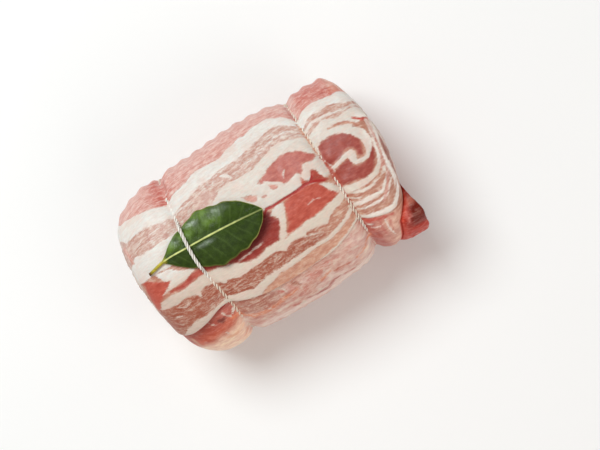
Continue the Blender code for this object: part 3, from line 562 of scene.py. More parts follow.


# Where the leaf's near edge overhangs the lean: a painted shadow of the leaf over wet red lean.
SHADED_PATCH = drawn((-18, -7), (-8, -3), (0, 2), (3.5, 1), (3, -3.5), (-2, -7), (-8, -10.5), (-16, -12.5))
FREE_LINE = edge(
    (-74, -38.7), (-68.3, -36.8), (-63.6, -37.3), (-57, -36.4), (-47.6, -35), (-42.9, -33.8), (-38.2, -35.7),
    (-28.8, -37.8), (-24, -38.5), (-12.8, -39.7), (-0.5, -39.9), (8.9, -39.2), (14.5, -38.7), (23, -38.3),
    (27.7, -37.3), (32.4, -36.2), (37.1, -35), (41.8, -33.1), (46.5, -30.3), (54, -33.5), (64, -35.6),
    (76, -36.5))
FLANK_WHITE = [
    (drawn((-50, -37.5), (-48.5, -40.2), (-46, -41.8)), (0.3, 0.8, 0.6)),
    (drawn((-44.5, -41), (-43.2, -40), (-42.6, -38.6)), (1.2, 2.2, 0.8)),
    (drawn((-60, -38.8), (-58, -41), (-56.8, -41.6)), (0.3, 0.6, 0.6)),
    (drawn((-53.5, -47), (-52.6, -48.4)), (0.6, 0.8)),
    (drawn((-66.8, -46.6), (-65.6, -47)), (0.5, 0.7)),
    (drawn((61, -37), (60.5, -42), (62, -47)), (0.5, 0.9, 0.5)),
    (drawn((50.3, -35.4), (52, -36.4), (53.6, -36.6)), (0.6, 1.2, 0.5)),
    (drawn((52, -38.6), (56, -39.6), (58, -39.2)), (0.3, 0.7, 0.4)),
    (drawn((-25.5, -47.2), (-23.6, -48)), (0.6, 1.1)),
    (drawn((-12, -41.6), (-11, -43.4), (-10.6, -44.6)), (0.5, 1, 0.4)),
    (drawn((-2.4, -46.6), (-1.6, -47.6)), (0.9, 0.7)),
    (drawn((-30, -51.8), (-28, -52.2)), (0.8, 0.6)),
    (drawn((-6, -54.6), (-4, -54.8)), (2.8, 2.4)),
    (drawn((2, -54), (8, -53.6), (14, -52.4)), (0.8, 1.4, 0.8)),
    (drawn((28, -50.4), (32, -51), (34, -51.4)), (0.3, 0.6, 0.3)),
    (drawn((14, -45), (20, -42.6)), (0.3, 0.7)),
    (drawn((35, -40.8), (39, -42)), (0.6, 0.3)),
]
FLANK_LINES = [   # points, widths, colour
    (drawn((50, -32.4), (53, -34), (57, -34.6), (61, -35.8), (67, -36.4)), (1, 2, 2, 2.2, 0.8), 'bright'),
    (drawn((-46, -43), (-41, -44.2), (-38, -46), (-33, -48), (-24, -48.6), (-12, -47.2), (-4, -46.6)),
     (1, 2, 2, 3.4, 3.4, 2, 0.8), 'orange'),
    (drawn((-54, -50.6), (-48, -51.2), (-42, -50)), (1.5, 2.6, 1.2), 'peach'),
    (drawn((-50, -54.8), (-45, -55.2), (-41, -54)), (0.8, 1.6, 0.8), 'orange'),
    (drawn((-73, -39.2), (-70, -39.2), (-67, -39.8)), (0.8, 1.8, 1.2), 'bright'),
    (drawn((-72.4, -42), (-70.6, -46)), (1.4, 1.4), 'tan'),
    (drawn((-54, -40.6), (-52, -41.6), (-50.8, -41)), (1.6, 2, 1.2), 'wine'),
    (drawn((48.3, -31), (48.6, -36), (49, -41), (50, -45)), (2.4, 2.8, 3.2, 2), 'strip'),
    (drawn((52, -40), (53, -43), (54.6, -46)), (1, 1.8, 0.8), 'strip'),
    (drawn((63.6, -36), (63, -40), (62.6, -44)), (0.8, 1.1, 0.6), 'pale_red'),
    (drawn((57.6, -37), (57, -41), (58, -46)), (0.8, 1.1, 0.6), 'pale_red'),
    (drawn((10, -49.4), (14, -48), (18, -47)), (1.2, 1.8, 0.8), 'orange'),
    (drawn((20, -48), (28, -47.6), (35, -47)), (1, 1.8, 0.6), 'salmon'),
    (drawn((36, -47.2), (41, -45.8), (46, -43.4), (49, -43)), (0.8, 1.4, 2.4, 1.6), 'orange'),
    (drawn((38, -49), (43, -47), (47, -44.6)), (0.5, 1, 0.7), 'cream'),
    (drawn((-14.4, -42.4), (-12.6, -43.8)), (1.4, 1.6), 'pale_red'),
    (drawn((-5, -42.4), (-3, -43.6), (-1.6, -45)), (1.4, 2, 1), 'deep'),
    (drawn((20, -42), (28, -41.4), (36, -39)), (0.3, 1, 0.4), 'pink'),
    (drawn((-10, -53.8), (-7.4, -54.2)), (2, 2.6), 'red'),
    (drawn((-1, -54.2), (5, -55), (12, -54.4), (17, -52.6), (22, -51.6)), (1.4, 3, 3.6, 2.8, 1.4), 'rust'),
    (drawn((24, -51.6), (30, -51.8), (33, -50.8)), (1, 2.4, 1), 'red'),
]

# Bands of fat on the sides that the eye above doesn't see: where each starts and ends round the section.
FAR_BANDS = [(88, 95), (112, 117), (134, 143)]
NEAR_BANDS = [(-84, -88.5), (-101, -107), (-131, -139)]

OUTSIDE = -50.0            # a distance that stands for far outside
HIDDEN = -20.0             # the same on surfaces that nobody sees
FOURTH_WHITE_END = 49      # beyond this the slab's end has its own lines instead of the fourth white band
EDGE_STRIP = (28, 21)      # middle and half length of the white strip along the slab's free edge


def sheet_waver(x, s):
    """How far a band of the unseen sides strays."""
    return 3.2 * noise(x / 23, s / 60, seed=3) + 1.1 * noise(x / 7, s / 20, seed=4)


def slab_fields(x, s):
    """For the slab's outer surface: the colours of its lean and of its fat, how far inside fat and inside a
    dark seam, deep red with painted shade, each point lies, and how strongly its lean is flecked."""
    place = np.stack([x, s], axis=-1)
    pale, first, streaky, second, third_top, third, fourth_top, fourth = (line(x) for line in (
        PALE_EDGE, FIRST_WHITE_EDGE, STREAKY_EDGE, SECOND_WHITE_EDGE,
        THIRD_WHITE_TOP, THIRD_WHITE_EDGE, FOURTH_WHITE_TOP, FOURTH_WHITE_EDGE))
    fat = np.maximum(between(s, pale, first), between(s, streaky, second))
    third_band = between(s, third_top, third)
    both = np.maximum(third_band, between(s, fourth_top, fourth))
    fat = np.maximum(fat, np.where(x > FOURTH_WHITE_END, third_band, both))
    wavered = s + sheet_waver(x, s)
    for start, end in FAR_BANDS:
        fat = np.maximum(fat, between(wavered, end, start) + 1.2 * noise(x / 13, s / 5, seed=17))

    on_streaky, on_pale = rise(s, streaky - 1, streaky + 1), rise(s, pale - 1, pale + 1)
    marble = 0.3 + 0.35 * on_streaky - 0.2 * on_pale
    marble = marble + 0.3 * rise(-s, -third, -third + 2) * rise(s, fourth, fourth + 2) * rise(-x, -46, -36)
    rosy = np.exp(-(((x + 45) / 6) ** 2)) + rise(x, 46, 52) * rise(noise(x / 9, s / 6, seed=6), -1.0, 0.1)
    lean = painted('brown', x.shape, [
        ('soft', on_streaky),
        ('pale', on_pale),
        ('pale_red', np.clip(rosy, 0, 1) * on_pale * rise(-s, -80, -66)),
        ('peach', 0.3 * rise(x, 66, 72) * rise(s, pale, pale + 3)),
        ('lilac', 0.5 * rise(s, 70, 95)),
        ('deep', rise(-s, -third - 1, -third + 1) * rise(-x, -34, -14)),
        ('tan', rise(-s, -fourth - 0.5, -fourth + 0.5) * rise(-x, -54, -48)),
        ('brown', 0.35 * rise(x, 46, 50) * on_streaky * rise(-s, -pale, -pale + 2)),
    ])
    for outline, name in RED_PATCHES:
        inside = patch(place, outline) + 0.5 * noise(x / 2.6, s / 1.8, seed=5)
        fat = np.minimum(fat, -inside)
        lean = over(lean, PAINTS[name], rise(inside, -0.8, 1.0))
        marble = marble * (1 - 0.85 * rise(inside, -0.8, 1.5))
    for outline in WHITE_PATCHES:
        fat = np.maximum(fat, patch(place, outline))
    fat = np.maximum(fat, on_lines(place, WHITE_LINES))
    for line, widths, name in LEAN_LINES:
        inside = stripe(place, line, widths)
        fat = np.minimum(fat, -inside)
        lean = over(lean, PAINTS[name], rise(inside, -0.7, 0.4))
    strip = 1.5 * rise(x, 8, 26) * rise(-x, -48, -44) - (s - sheet_place(free_edge(x)))
    middle, half = EDGE_STRIP
    fat = np.maximum(fat, np.where(np.abs(x - middle) < half, strip, OUTSIDE))
    # Painted shadow of the leaf's near edge.
    lean = over(lean, PAINTS['shade'], rise(patch(place, SHADED_PATCH), -1.5, 2.5))
    return lean, white_at(x, s), fat, on_lines(place, DARK_LINES), marble


def white_at(x, s):
    """The colour of the fat: whiter on top and on the far side, which face the lamps, and pinkish and beige
    lower down, partly painted shade; the shaded rounding of the slab's right end is painted whiter as painted
    light.
    """
    return painted('fat', x.shape, [
        ('fat_mid', rise(-s, -36, -26) * rise(x, -60, -30)),
        # Partly painted shade: lower down, away from the lamps, the fat is darker and beige, the more so
        # towards the left.
        ('fat_low', rise(-s, -4, 14)),
        ('fat_left', rise(-s, -4, 14) * rise(s, -72, -60) * rise(-x, 30, 55)),
        ('fat_pink', 0.5 * rise(noise(x / 8, s / 5, seed=15), 0.1, 0.6)),
        # Painted light: the fat on the rounding of the slab's right end, which the lamps leave in shade, is
        # painted whiter.
        ('fat_bright', rise(x, 70, 76) * rise(-s, -30, -20)),
        ('fat_bright', 0.7 * rise(x, 46, 56) * rise(-s, 8, 26) * rise(s, -60, -50)),
    ])


def flank_fields(x, s):
    """The same for the lower slice: pink lean under a whitish film, and a salmon bulge at the left."""
    place = np.stack([x, s], axis=-1)
    below = FREE_LINE(x) - s
    left, right = rise(-x, 38, 42), rise(x, 46, 49)
    reddish = rise(-below, -16, -8) * rise(x, -44, -40) * rise(-(x + 6 * noise(x / 5, s / 3, seed=9)), 0, 22)
    slanted = below + 0.12 * (x + 60) + 1.5 * noise(x / 4, s / 3, seed=14)
    angle = np.interp(-s, -section_lengths, section_angles)
    hugged = round_lobe(angle, LOBE_HUGS)
    beside = x - ring(RIGHT_CUT, angle) + LOBE_BACK * hugged
    lean = painted('veil', x.shape, [
        ('film', 0.7 * rise(noise(x / 7, s / 4, seed=8), 0.0, 0.5)),
        ('pale_red', 0.45 * rise(noise(x / 6, s / 3, seed=10), 0.0, 0.5)),
        ('film', 0.3 * rise(x, 16, 30)),
        ('deep', 0.8 * reddish),
        ('film', 0.8 * rise(-s, 60, 65) * rise(x, -38, -30) * rise(s, -74, -70)),
        ('lilac', 0.7 * rise(-s, 73, 80)),
        ('cream', left),
        ('salmon', left * rise(-slanted, -21, -12)),
        ('strip', left * rise(-slanted, -12, -7)),
        ('lens', 0.6 * rise(-x, 40, 43) * rise(x, -51, -48) * rise(-below, -7, -4)),
        ('lens', right),
        ('cream', right * rise(x + 5 * noise(x / 4, s / 5, seed=16), 52, 64) * 0.6),
        # Painted light: bright red beside the lobe's edge, so the crease's shade comes out deep red.
        ('bright', rise(beside, -1.6, -0.3) * (hugged > 0.1)),
    ])
    for line, widths, name in FLANK_LINES:
        inside = stripe(place, line, widths) + 0.8 * noise(x / 2.5, s / 1.6, seed=13)
        lean = over(lean, PAINTS[name], 0.85 * rise(inside, -0.9, 0.6))
    fat = np.maximum(on_lines(place, FLANK_WHITE), HIDDEN)
    wavered = s + sheet_waver(x, s)
    uneven = 2.0 * noise(x / 13, s / 5, seed=17) + 0.8 * noise(x / 4, s / 2, seed=18) - 0.7
    for start, end in NEAR_BANDS:
        fat = np.maximum(fat, between(wavered, start, end) + uneven)
    # At the left, a thin line in the seam colour just under the slab's free edge: a painted shadow of that
    # edge.
    dark = np.where(left > 0.5, 0.2 - below, -1 - 3 * rise(below, 0, 2))
    marble = 0.6 - 0.45 * rise(left + right, 0.2, 0.8)
    return lean, white_at(x, s), fat, dark, marble


def cut_fields(depth, s, ragged):
    """For a cut end of the slab: bands that run along the slab's curve, at a depth in from its rim."""
    at = depth + 0.9 * noise(s / 11, 0, seed=12) + 0.5 * ragged
    fat = np.maximum(between(at, 3.0, -1.0), between(at, 8.4, 6.2))
    lean = painted('deep', at.shape, [('brown', rise(ragged, -0.3, 0.6)), ('red', 0.6 * rise(at, 8, 9.5))])
    return lean, painted('fat_low', at.shape), fat, np.full(at.shape, OUTSIDE), np.full(at.shape, 0.3)


# ---------------------------------------------------------------- meat: meshes

STEP_ALONG = 0.8
END_OFFSETS = (0.0, 0.1, 0.35, 0.8, 1.4, 2.1)
ROUND_STEP = 0.8
CREVICE_HALF = 2.6
CREVICE_STEP = 0.26
CUT_RINGS = 9
LIP_COLUMNS = np.array([0.0, 0.06, 0.25, 0.6, 1.1, 1.7]) / MEAN_RADIUS    # angles in from a long edge
RELIEF_COLUMNS = 4         # columns from a long edge over which the relief grows to its full height
INNER_ROWS = np.linspace(-78, 78, 53)
INNER_COLUMNS = 31
GRAIN_TURNS = (3, 12)      # distances from a cut between which the grain turns from round it to lengthwise


def row_places():
    """Rows along the roast, closest together at its cut ends."""
    ends = np.array(END_OFFSETS)
    count = int(round(2 * (HALF_LENGTH - ends[-1]) / STEP_ALONG))
    middle = np.linspace(ends[-1] - HALF_LENGTH, HALF_LENGTH - ends[-1], count + 1)
    return np.concatenate([ends[:-1] - HALF_LENGTH, middle, HALF_LENGTH - ends[-2::-1]])


def slab_angles(x):
    """Fine columns over the slab, closest together at its long edges and in the crevice."""
    lips = LIP_COLUMNS
    start, middle = HIDDEN_EDGE - TURN + EDGE_CLEAR, crevice_line(0.0)
    half, lip_width = CREVICE_HALF / MEAN_RADIUS, lips[-1]
    far = np.linspace(0, 1, int((middle - start) * MEAN_RADIUS / ROUND_STEP))[1:-1]
    near = np.linspace(0, 1, int((free_edge(0.0) - middle) * MEAN_RADIUS / ROUND_STEP))[1:-1]
    notch = np.arange(-CREVICE_HALF, CREVICE_HALF + 0.01, CREVICE_STEP) / MEAN_RADIUS
    before = np.concatenate([lips * 0, far, notch * 0 + 1, near * 0 + 1, lips * 0 + 1])
    after = np.concatenate([lips * 0, far * 0, notch * 0, near, lips * 0 + 1])
    offset = np.concatenate([lips, lip_width - far * (half + lip_width), notch,
                             half - near * (lip_width + half), -lips[::-1]])
    crevice, end = crevice_line(x), free_edge(x)
    return start + before * (crevice - start) + after * (end - crevice) + offset


def flank_angles(x):
    """Fine columns over the lower slice, closest together at its hidden edge."""
    lips = LIP_COLUMNS
    start, end = free_edge(x) - UNDERLAP, HIDDEN_EDGE - EDGE_CLEAR
    count = int((HIDDEN_EDGE - free_edge(0.0)) * MEAN_RADIUS / ROUND_STEP)
    even = np.linspace(0, 1, count)[:-1]
    share = np.concatenate([even, lips * 0 + 1])
    offset = np.concatenate([-even * lips[-1], -lips[::-1]])
    return start + share * (end - start) + offset


def inner_angles(start, end):
    """Coarse columns from one edge to another, as a function of x."""
    def at(x):
        first, last = start(x) + EDGE_CLEAR, end(x) - EDGE_CLEAR
        return first + np.linspace(0, 1, INNER_COLUMNS) * (last - first)

    return at


def lay_out(rows, angles_at, radius_at):
    """Rows of x, angles and radii that follow the bends of the body."""
    xs, angles = [], []
    for row in rows:
        x, angle = bend_row(row, angles_at)
        xs.append(np.broadcast_to(x, angle.shape))
        angles.append(angle)
    xs, angles = np.array(xs), np.array(angles)
    return xs, angles, radius_at(xs, angles)


def grid_faces(grid, around=False):
    """Quads between neighbouring points of a grid of numbers, closed round each row if asked."""
    ahead = np.roll(grid, -1, axis=1) if around else grid[:, 1:]
    here = grid if around else grid[:, :-1]
    quads = np.stack([here[:-1], ahead[:-1], ahead[1:], here[1:]], axis=-1)
    return quads.reshape(-1, 4).tolist()


def bridge(first, second):
    """Triangles between two lines of points that run the same way with different counts."""
    faces, i, j = [], 0, 0
    while i < len(first) - 1 or j < len(second) - 1:
        ahead_first = (i + 1) / (len(first) - 1)
        ahead_second = (j + 1) / (len(second) - 1)
        if j == len(second) - 1 or (i < len(first) - 1 and ahead_first <= ahead_second):
            faces.append((first[i], first[i + 1], second[j]))
            i += 1
        else:
            faces.append((first[i], second[j + 1], second[j]))
            j += 1
    return faces


def make_piece(name, points, faces, material, layers):
    """A named mesh from points in millimetres, with a value or a colour for each of its points."""
    mesh = bpy.data.meshes.new(name)
    mesh.from_pydata((np.asarray(points) * MM).tolist(), [], faces)
    shape = bmesh.new()
    shape.from_mesh(mesh)
    bmesh.ops.recalc_face_normals(shape, faces=shape.faces)
    shape.to_mesh(mesh)
    shape.free()
    mesh.shade_smooth()
    for layer, values in layers.items():
        values = np.asarray(values, float)
        if values.ndim == 1:
            mesh.attributes.new(layer, "FLOAT", "POINT").data.foreach_set("value", values)
        else:
            four = np.concatenate([values, np.ones((len(values), 1))], axis=1)
            mesh.attributes.new(layer, "FLOAT_COLOR", "POINT").data.foreach_set("color", four.ravel())
    mesh.materials.append(material)
    piece = bpy.data.objects.new(name, mesh)
    bpy.context.collection.objects.link(piece)
    return piece


def meat_relief(x, angle, s, fat, dark):
    """Fine relief: fat a little proud, seams sunk, soft ripples and puckers beside the twine."""
    y, z = MEAN_RADIUS * np.cos(angle), MEAN_RADIUS * np.sin(angle)
    height = 0.22 * np.tanh(fat / 0.8) + 0.3 * noise(x / 7, y / 7, z / 7, seed=20)
    height = height + 0.13 * noise(x / 3.2, y / 2.4, z / 2.4, seed=21)
    height = height + 0.06 * noise(x / 1.7, y / 1.1, z / 1.1, seed=22)
    height = height - 0.3 * rise(dark, -0.6, 0.4)
    ripple = np.sin(TURN * x / 9.5 + 1.5 * noise(x / 20, s / 20, seed=23))
    height = height + 0.5 * ripple * rise(s, 55, 72) * rise(-s, -110, -90)
    ragged = noise(x / 3.4, s / 7, seed=25) + 0.5 * noise(x / 1.8, s / 3, seed=26)
    height = height + 0.6 * ragged * rise(-s, 62, 70) * rise(s, -92, -82) * rise(x, -38, -30)
    for path in (LEFT_LOOP, RIGHT_LOOP):
        off = np.abs(x - ring(path, angle))
        fold = np.sin(s / 1.5 + 3 * noise(x / 6, s / 9, seed=24))
        height = height + 0.3 * fold * np.exp(-(((off - 4) / 3) ** 2))
    return height


def cut_end(end, outer):
    """Rings over a cut end of the slab, from its rim in to the core: places and fields."""
    x, angle, rim, s, lean, white, fat, dark, marble, _ = (values[end] for values in outer)
    outward = 1 if end else -1
    inside = inner_radius(x, angle)
    rings = []
    for k in range(1, CUT_RINGS + 1):
        share = k / CUT_RINGS
        depth = share * (rim - inside)
        ragged = noise(MEAN_RADIUS * angle / 1.3, depth / 1.1, seed=30 + end)
        swell = math.sin(math.pi * share) * (1.1 + 0.5 * noise(MEAN_RADIUS * angle / 6, depth / 5, seed=33))
        push = outward * (swell + 0.25 * ragged * min(1, 3 * (1 - share)))
        cut_lean, cut_white, cut_fat, cut_dark, cut_marble = cut_fields(depth, s, ragged)
        mix = rise(depth, 0.3, 1.8)
        rings.append((on_body(x, angle, rim - depth) + np.stack([push, 0 * push, 0 * push], axis=-1),
                      s + outward * 0.4 * depth, over(lean, cut_lean, mix), over(white, cut_white, mix),
                      fat + (cut_fat - fat) * mix, np.maximum(dark, cut_dark),
                      marble + (cut_marble - marble) * mix, -depth))
    return [np.array(values) for values in zip(*rings)]


def curved_slab(name, angles_at, radius_at, fields, inner_at, material):
    """A closed slab: fine outside and cut ends, coarse inside, all laid out in rows along the roast."""
    rows = row_places()
    xs, angles, radii = lay_out(rows, angles_at, radius_at)
    s = sheet_place(angles)
    lean, white, fat, dark, marble = fields(xs, s)
    near_edge = np.arange(angles.shape[1]) / RELIEF_COLUMNS
    near_edge = np.clip(np.minimum(near_edge, near_edge[::-1]), 0, 1)
    radii = radii + meat_relief(xs, angles, s, fat, dark) * near_edge
    outside = on_body(xs, angles, radii)
    steps = np.linalg.norm(np.diff(outside, axis=0), axis=-1)
    steps = np.concatenate([0 * steps[:1], steps])
    to_rim = np.cumsum(steps, axis=0)
    to_rim = np.minimum(to_rim, to_rim[-1] - to_rim)
    skin = (s, lean, white, fat, dark, marble, to_rim)
    left, right = (cut_end(end, (xs, angles, radii, *skin)) for end in (0, -1))
    outer = (outside, *skin)
    places, s, lean, white, fat, dark, marble, to_rim = [
        np.concatenate([a[::-1], b, c]) for a, b, c in zip(left, outer, right)]
    grid = np.arange(fat.size).reshape(fat.shape)

    coarse = np.concatenate([rows[:1], INNER_ROWS, rows[-1:]])
    inner = on_body(*lay_out(coarse, inner_at, inner_radius))
    under = grid.size + np.arange(inner[..., 0].size).reshape(inner.shape[:2])
    faces = grid_faces(grid) + grid_faces(under)
    for end in (0, -1):
        faces += bridge(list(grid[end]), list(under[end]))
        faces += bridge(list(grid[:, end]), list(under[:, end]))
    hidden = np.full(under.size, HIDDEN)
    flow = np.stack([places[..., 0], s, 0 * s], axis=-1).reshape(-1, 3)
    round_rim = np.stack([s, to_rim, 0 * s], axis=-1).reshape(-1, 3)
    layers = {
        'lean': np.concatenate([lean.reshape(-1, 3), np.tile(PAINTS['deep'], (under.size, 1))]),
        'white': np.concatenate([white.reshape(-1, 3), np.tile(PAINTS['fat_low'], (under.size, 1))]),
        'fat': np.concatenate([fat.ravel(), hidden]),
        'dark': np.concatenate([dark.ravel(), hidden]),
        'marble': np.concatenate([marble.ravel(), hidden * 0]),
        'flow': np.concatenate([flow, inner.reshape(-1, 3)]),
        'round_rim': np.concatenate([round_rim, inner.reshape(-1, 3)]),
        'turned': np.concatenate([fade(to_rim, *GRAIN_TURNS).ravel(), hidden * 0]),
    }
    points = np.concatenate([places.reshape(-1, 3), inner.reshape(-1, 3)])
    return make_piece(name, points, faces, material, layers)


def loose_edge(x):
    """How openly the slab's free edge shows: it clings to the lower slice between the loops of twine."""
    return 0.15 + 0.4 * rise(-x, 38, 46) + 0.6 * rise(x, 46, 54)


def slab_meat(material):
    def radius(x, angle):
        start = (angle - (HIDDEN_EDGE - TURN)) * MEAN_RADIUS
        end = (free_edge(x) - angle) * MEAN_RADIUS
        return outer_radius(x, angle) - lip(start) - lip(end) * loose_edge(x)

    inner_at = inner_angles(lambda x: HIDDEN_EDGE - TURN, free_edge)
    return curved_slab('slab_meat', slab_angles, radius, slab_fields, inner_at, material)


def flank_meat(material):
    def radius(x, angle):
        return flank_radius(x, angle) - lip((HIDDEN_EDGE - angle) * MEAN_RADIUS)

    inner_at = inner_angles(free_edge, lambda x: HIDDEN_EDGE)
    return curved_slab('flank_meat', flank_angles, radius, flank_fields, inner_at, material)


def round_lobe(angle, reach):
    """1 over the middle of the lobe's side of the core and 0 from its edge on."""
    off = (angle - LOBE_ANGLE + math.pi) % TURN - math.pi
    return fade(np.abs(off), *reach)


def lobe_wall(angle, out, up, back):
    """A row of the core's wall as it leaves its hole, climbs the lower slice's cut and goes back over
    the slice's rounded edge; the shares say how much of those three stretches it has gone."""
    cut = ring(RIGHT_CUT, angle)
    hole = inner_radius(cut, angle) - 2 * GAP
    face = flank_radius(cut, angle) - hole + WALL_CLEAR
    out = out * round_lobe(angle, LOBE_LEAVES)
    reach = LOBE_BACK * round_lobe(angle, LOBE_HUGS) * back
    x = cut - RECESS + out * (RECESS + WALL_CLEAR) - reach
    climbed = hole + face * up * round_lobe(angle, LOBE_CLIMBS)
    over_slice = flank_radius(cut - reach, angle) + 2 * WALL_CLEAR - LIP_SINK * back ** 2
    return x, np.where(reach > 0, over_slice, climbed)


CORE_COLUMNS = 440
CORE_DOME = np.linspace(0.96, 0.04, 24)
CORE_ROWS = np.linspace(-79, 79, 40)
CORE_TIP = 64
CORE_RELIEF_ROWS = 4       # rows beyond the lobe's edge over which its relief grows to its full height
CREASE_LIT_ROWS = 5            # rows beside the lobe's edge that are painted a brighter red, as painted light against the crease's shade
PIT = (73.3, -43.4)        # a small pit in the lobe's top, and the radius of the rim round it
PIT_RIM = 1.9
LOBE_TOP = 35.0            # height from which the lobe's pit and ridge show
RIDGE = [(72, -35.4), (71.8, -38.4), (71, -41.6), (71.9, -45)]
RIDGE_WIDTHS = (0.5, 1, 1.5, 0.6)
WALL_STEPS = [(k / 3, 0, 0) for k in range(4)] + [(1, k / 6, 0) for k in range(1, 7)] + [
    (1, 1, k / 8) for k in range(1, 9)]


def core_meat(material):
    """The core: a wall inside the wrapping, a domed left end and a right end with its lobe."""
    def columns(x):
        return HIDDEN_EDGE - TURN + np.arange(CORE_COLUMNS) / CORE_COLUMNS * TURN

    xs, angles, radii = lay_out(CORE_ROWS, columns, lambda x, angle: inner_radius(x, angle) - GAP)
    rows = list(zip(xs, angles, radii))
    x, angle, radius = rows[0]
    middle = float(ring(LEFT_CUT, QUARTER)) + 2 * RECESS
    for share in CORE_DOME:
        place = middle - DOME * (1 - share) + (x - middle) * share ** 1.5
        rows.insert(0, (place, angle, radius * share))
    angle = rows[-1][1]
    for stretches in WALL_STEPS:
        start, lip_radius = lobe_wall(angle, *stretches)
        rows.append((start, angle, lip_radius))
    face, _ = lobe_wall(angle, 1, 1, 0)
    middle = float(ring(RIGHT_CUT, QUARTER)) - RECESS
    for share in (np.linspace(0, 1, CORE_TIP + 1) ** 1.4)[1:-1]:
        swell = LOBE_SWELL * math.sqrt(math.sin(math.pi * min(1, share / LOBE_RIM)))
        swell = swell * round_lobe(angle, LOBE_CLIMBS)
        base = start + (face - start) * fade(-share, -LOBE_NOSE / 2, 0)
        base = base + (middle - face) * fade(-share, -1, -LOBE_NOSE)
        nose = math.sin(math.pi * min(1, share / LOBE_NOSE)) * round_lobe(angle, LOBE_JUTS)
        rows.append((base + (LOBE_END - base) * nose, angle, lip_radius * (1 - share) + swell))
    places = np.array([on_body(*row) for row in rows])
    return core_piece(places, material)


def grid_normals(places):
    """Outward normals of a grid of points that is closed round each row."""
    along_rows = np.gradient(places, axis=0)
    across = np.roll(places, -1, axis=1) - np.roll(places, 1, axis=1)
    normal = np.cross(across, along_rows)
    return normal / np.maximum(np.linalg.norm(normal, axis=-1), 1e-9)[..., None]


def pit_place(x, y):
    """Distance from the small pit in the lobe, and how far to its open upper left a point lies."""
    off = np.hypot(x - PIT[0], y - PIT[1])
    return off, (y - PIT[1] - (x - PIT[0])) / np.maximum(off, 0.1)


def core_fields(places):
    """Colour and fat of the core, by place: a moist red lobe, darker on its upper right where the shadow of
    the wrap's end is painted, with painted shade in its pit.
    """
    x, y, z = np.moveaxis(places, -1, 0)
    patchy = noise(x / 6, y / 6, z / 6, seed=40)
    fine = noise(x / 2, y / 2, z / 2, seed=41)
    on_lobe = rise(x, 60, 66) * rise(-y, 24, 30)
    off, around = pit_place(x, y)
    pit_rim = np.exp(-(((off - PIT_RIM) / 0.7) ** 2)) * rise(around, -0.3, 0.4)
    ridge = stripe(np.stack([x, y], axis=-1), RIDGE, RIDGE_WIDTHS)
    top = z > LOBE_TOP
    lean = painted('core', x.shape, [
        ('red', 0.6 * rise(patchy + 0.4 * fine, 0, 0.7)),
        ('crimson', on_lobe * (0.85 + 0.15 * fine)),
        # Painted shadow of the wrap's end over the lobe's upper right.
        ('wine', 0.8 * on_lobe * rise(x, 72.6, 75.4) * rise(y, -48, -44) * rise(-y, 31, 35)
         * (1 - 0.3 * rise(x, 81.5, 83))),
        ('rim', 0.75 * on_lobe * rise(y, -37.5, -33) * rise(-x, -82, -78) * rise(-y, 29, 32)),
        ('coral', 0.85 * on_lobe * rise(-y, 46.5, 49.5) * (0.3 + 0.7 * rise(z, 14, 30))),
        ('pit', 0.55 * on_lobe * rise(-y, 49.5, 52.5) * rise(fine, -0.1, 0.3) * rise(z, 16, 30)),
        ('pit', 0.9 * on_lobe * pit_rim * top),
        # Painted shade in the small pit.
        ('wine', 0.9 * on_lobe * np.exp(-((off / 1.1) ** 2)) * top),
        ('pit', 0.85 * on_lobe * rise(ridge, -0.6, 0.3) * top),
    ])
    seam = np.abs(noise(x / 17, y / 11, z / 11, seed=42))
    fat = 0.1 - 16 * seam + 1.2 * noise(x / 9, y / 9, z / 9, seed=43)
    return lean, np.where(on_lobe > 0.3, -5, fat)


def core_piece(places, material):
    """The core's mesh from its rows of points, with its relief and colours."""
    rows, columns = places.shape[:2]
    x, y, z = np.moveaxis(places, -1, 0)
    swell = 0.4 * noise(x / 6, y / 6, z / 6, seed=45) + 0.2 * noise(x / 2.5, y / 2.5, z / 2.5, seed=46)
    on_rim = rise(x, 60, 68) * rise(-y, 45, 50)
    swell = swell + 0.5 * on_rim * noise(x / 2.1, y / 2.1, z / 2.1, seed=47)
    off, around = pit_place(x, y)
    top = rise(z, 30, 40) * (x > 66)
    rim = 0.5 * np.exp(-(((off - PIT_RIM) / 0.8) ** 2)) * rise(around, -0.3, 0.4)
    swell = swell + top * (rim - 1.0 * np.exp(-((off / 1.2) ** 2)))
    shown = np.zeros(rows)
    shown[:len(CORE_DOME)] = 1
    first = len(CORE_DOME) + len(CORE_ROWS) + len(WALL_STEPS)
    shown[first:] = np.minimum(1, np.arange(rows - first) / CORE_RELIEF_ROWS)
    places = places + grid_normals(places) * (swell * shown[:, None])[..., None]
    lean, fat = core_fields(places)
    # Painted light: the rows beside the lobe's edge are painted bright red, so the crease's shade comes out
    # deep red.
    beside = np.clip(1 - np.abs(np.arange(rows) - first) / CREASE_LIT_ROWS, 0, 1)[:, None]
    lean = over(lean, PAINTS['bright'], beside * (x > 55))
    tips = np.array([places[0].mean(axis=0), places[-1].mean(axis=0)])
    grid = np.arange(rows * columns).reshape(rows, columns)
    faces = grid_faces(grid, around=True)
    for tip, line in ((grid.size, grid[0]), (grid.size + 1, grid[-1])):
        faces += np.stack([np.full(columns, tip), line, np.roll(line, -1)], axis=-1).tolist()
    points = np.concatenate([places.reshape(-1, 3), tips])
    layers = {
        'lean': np.concatenate([lean.reshape(-1, 3), np.tile(PAINTS['core'], (2, 1))]),
        'white': np.tile(PAINTS['fat_low'], (len(points), 1)),
        'fat': np.concatenate([fat.ravel(), [-5, -5]]),
        'dark': np.full(len(points), HIDDEN),
        'marble': np.full(len(points), 0.12),
        'flow': points,
        'round_rim': points,
        'turned': np.zeros(len(points)),
    }
    return make_piece('core_meat', points, faces, material, layers)


# ---------------------------------------------------------------- the bay leaf

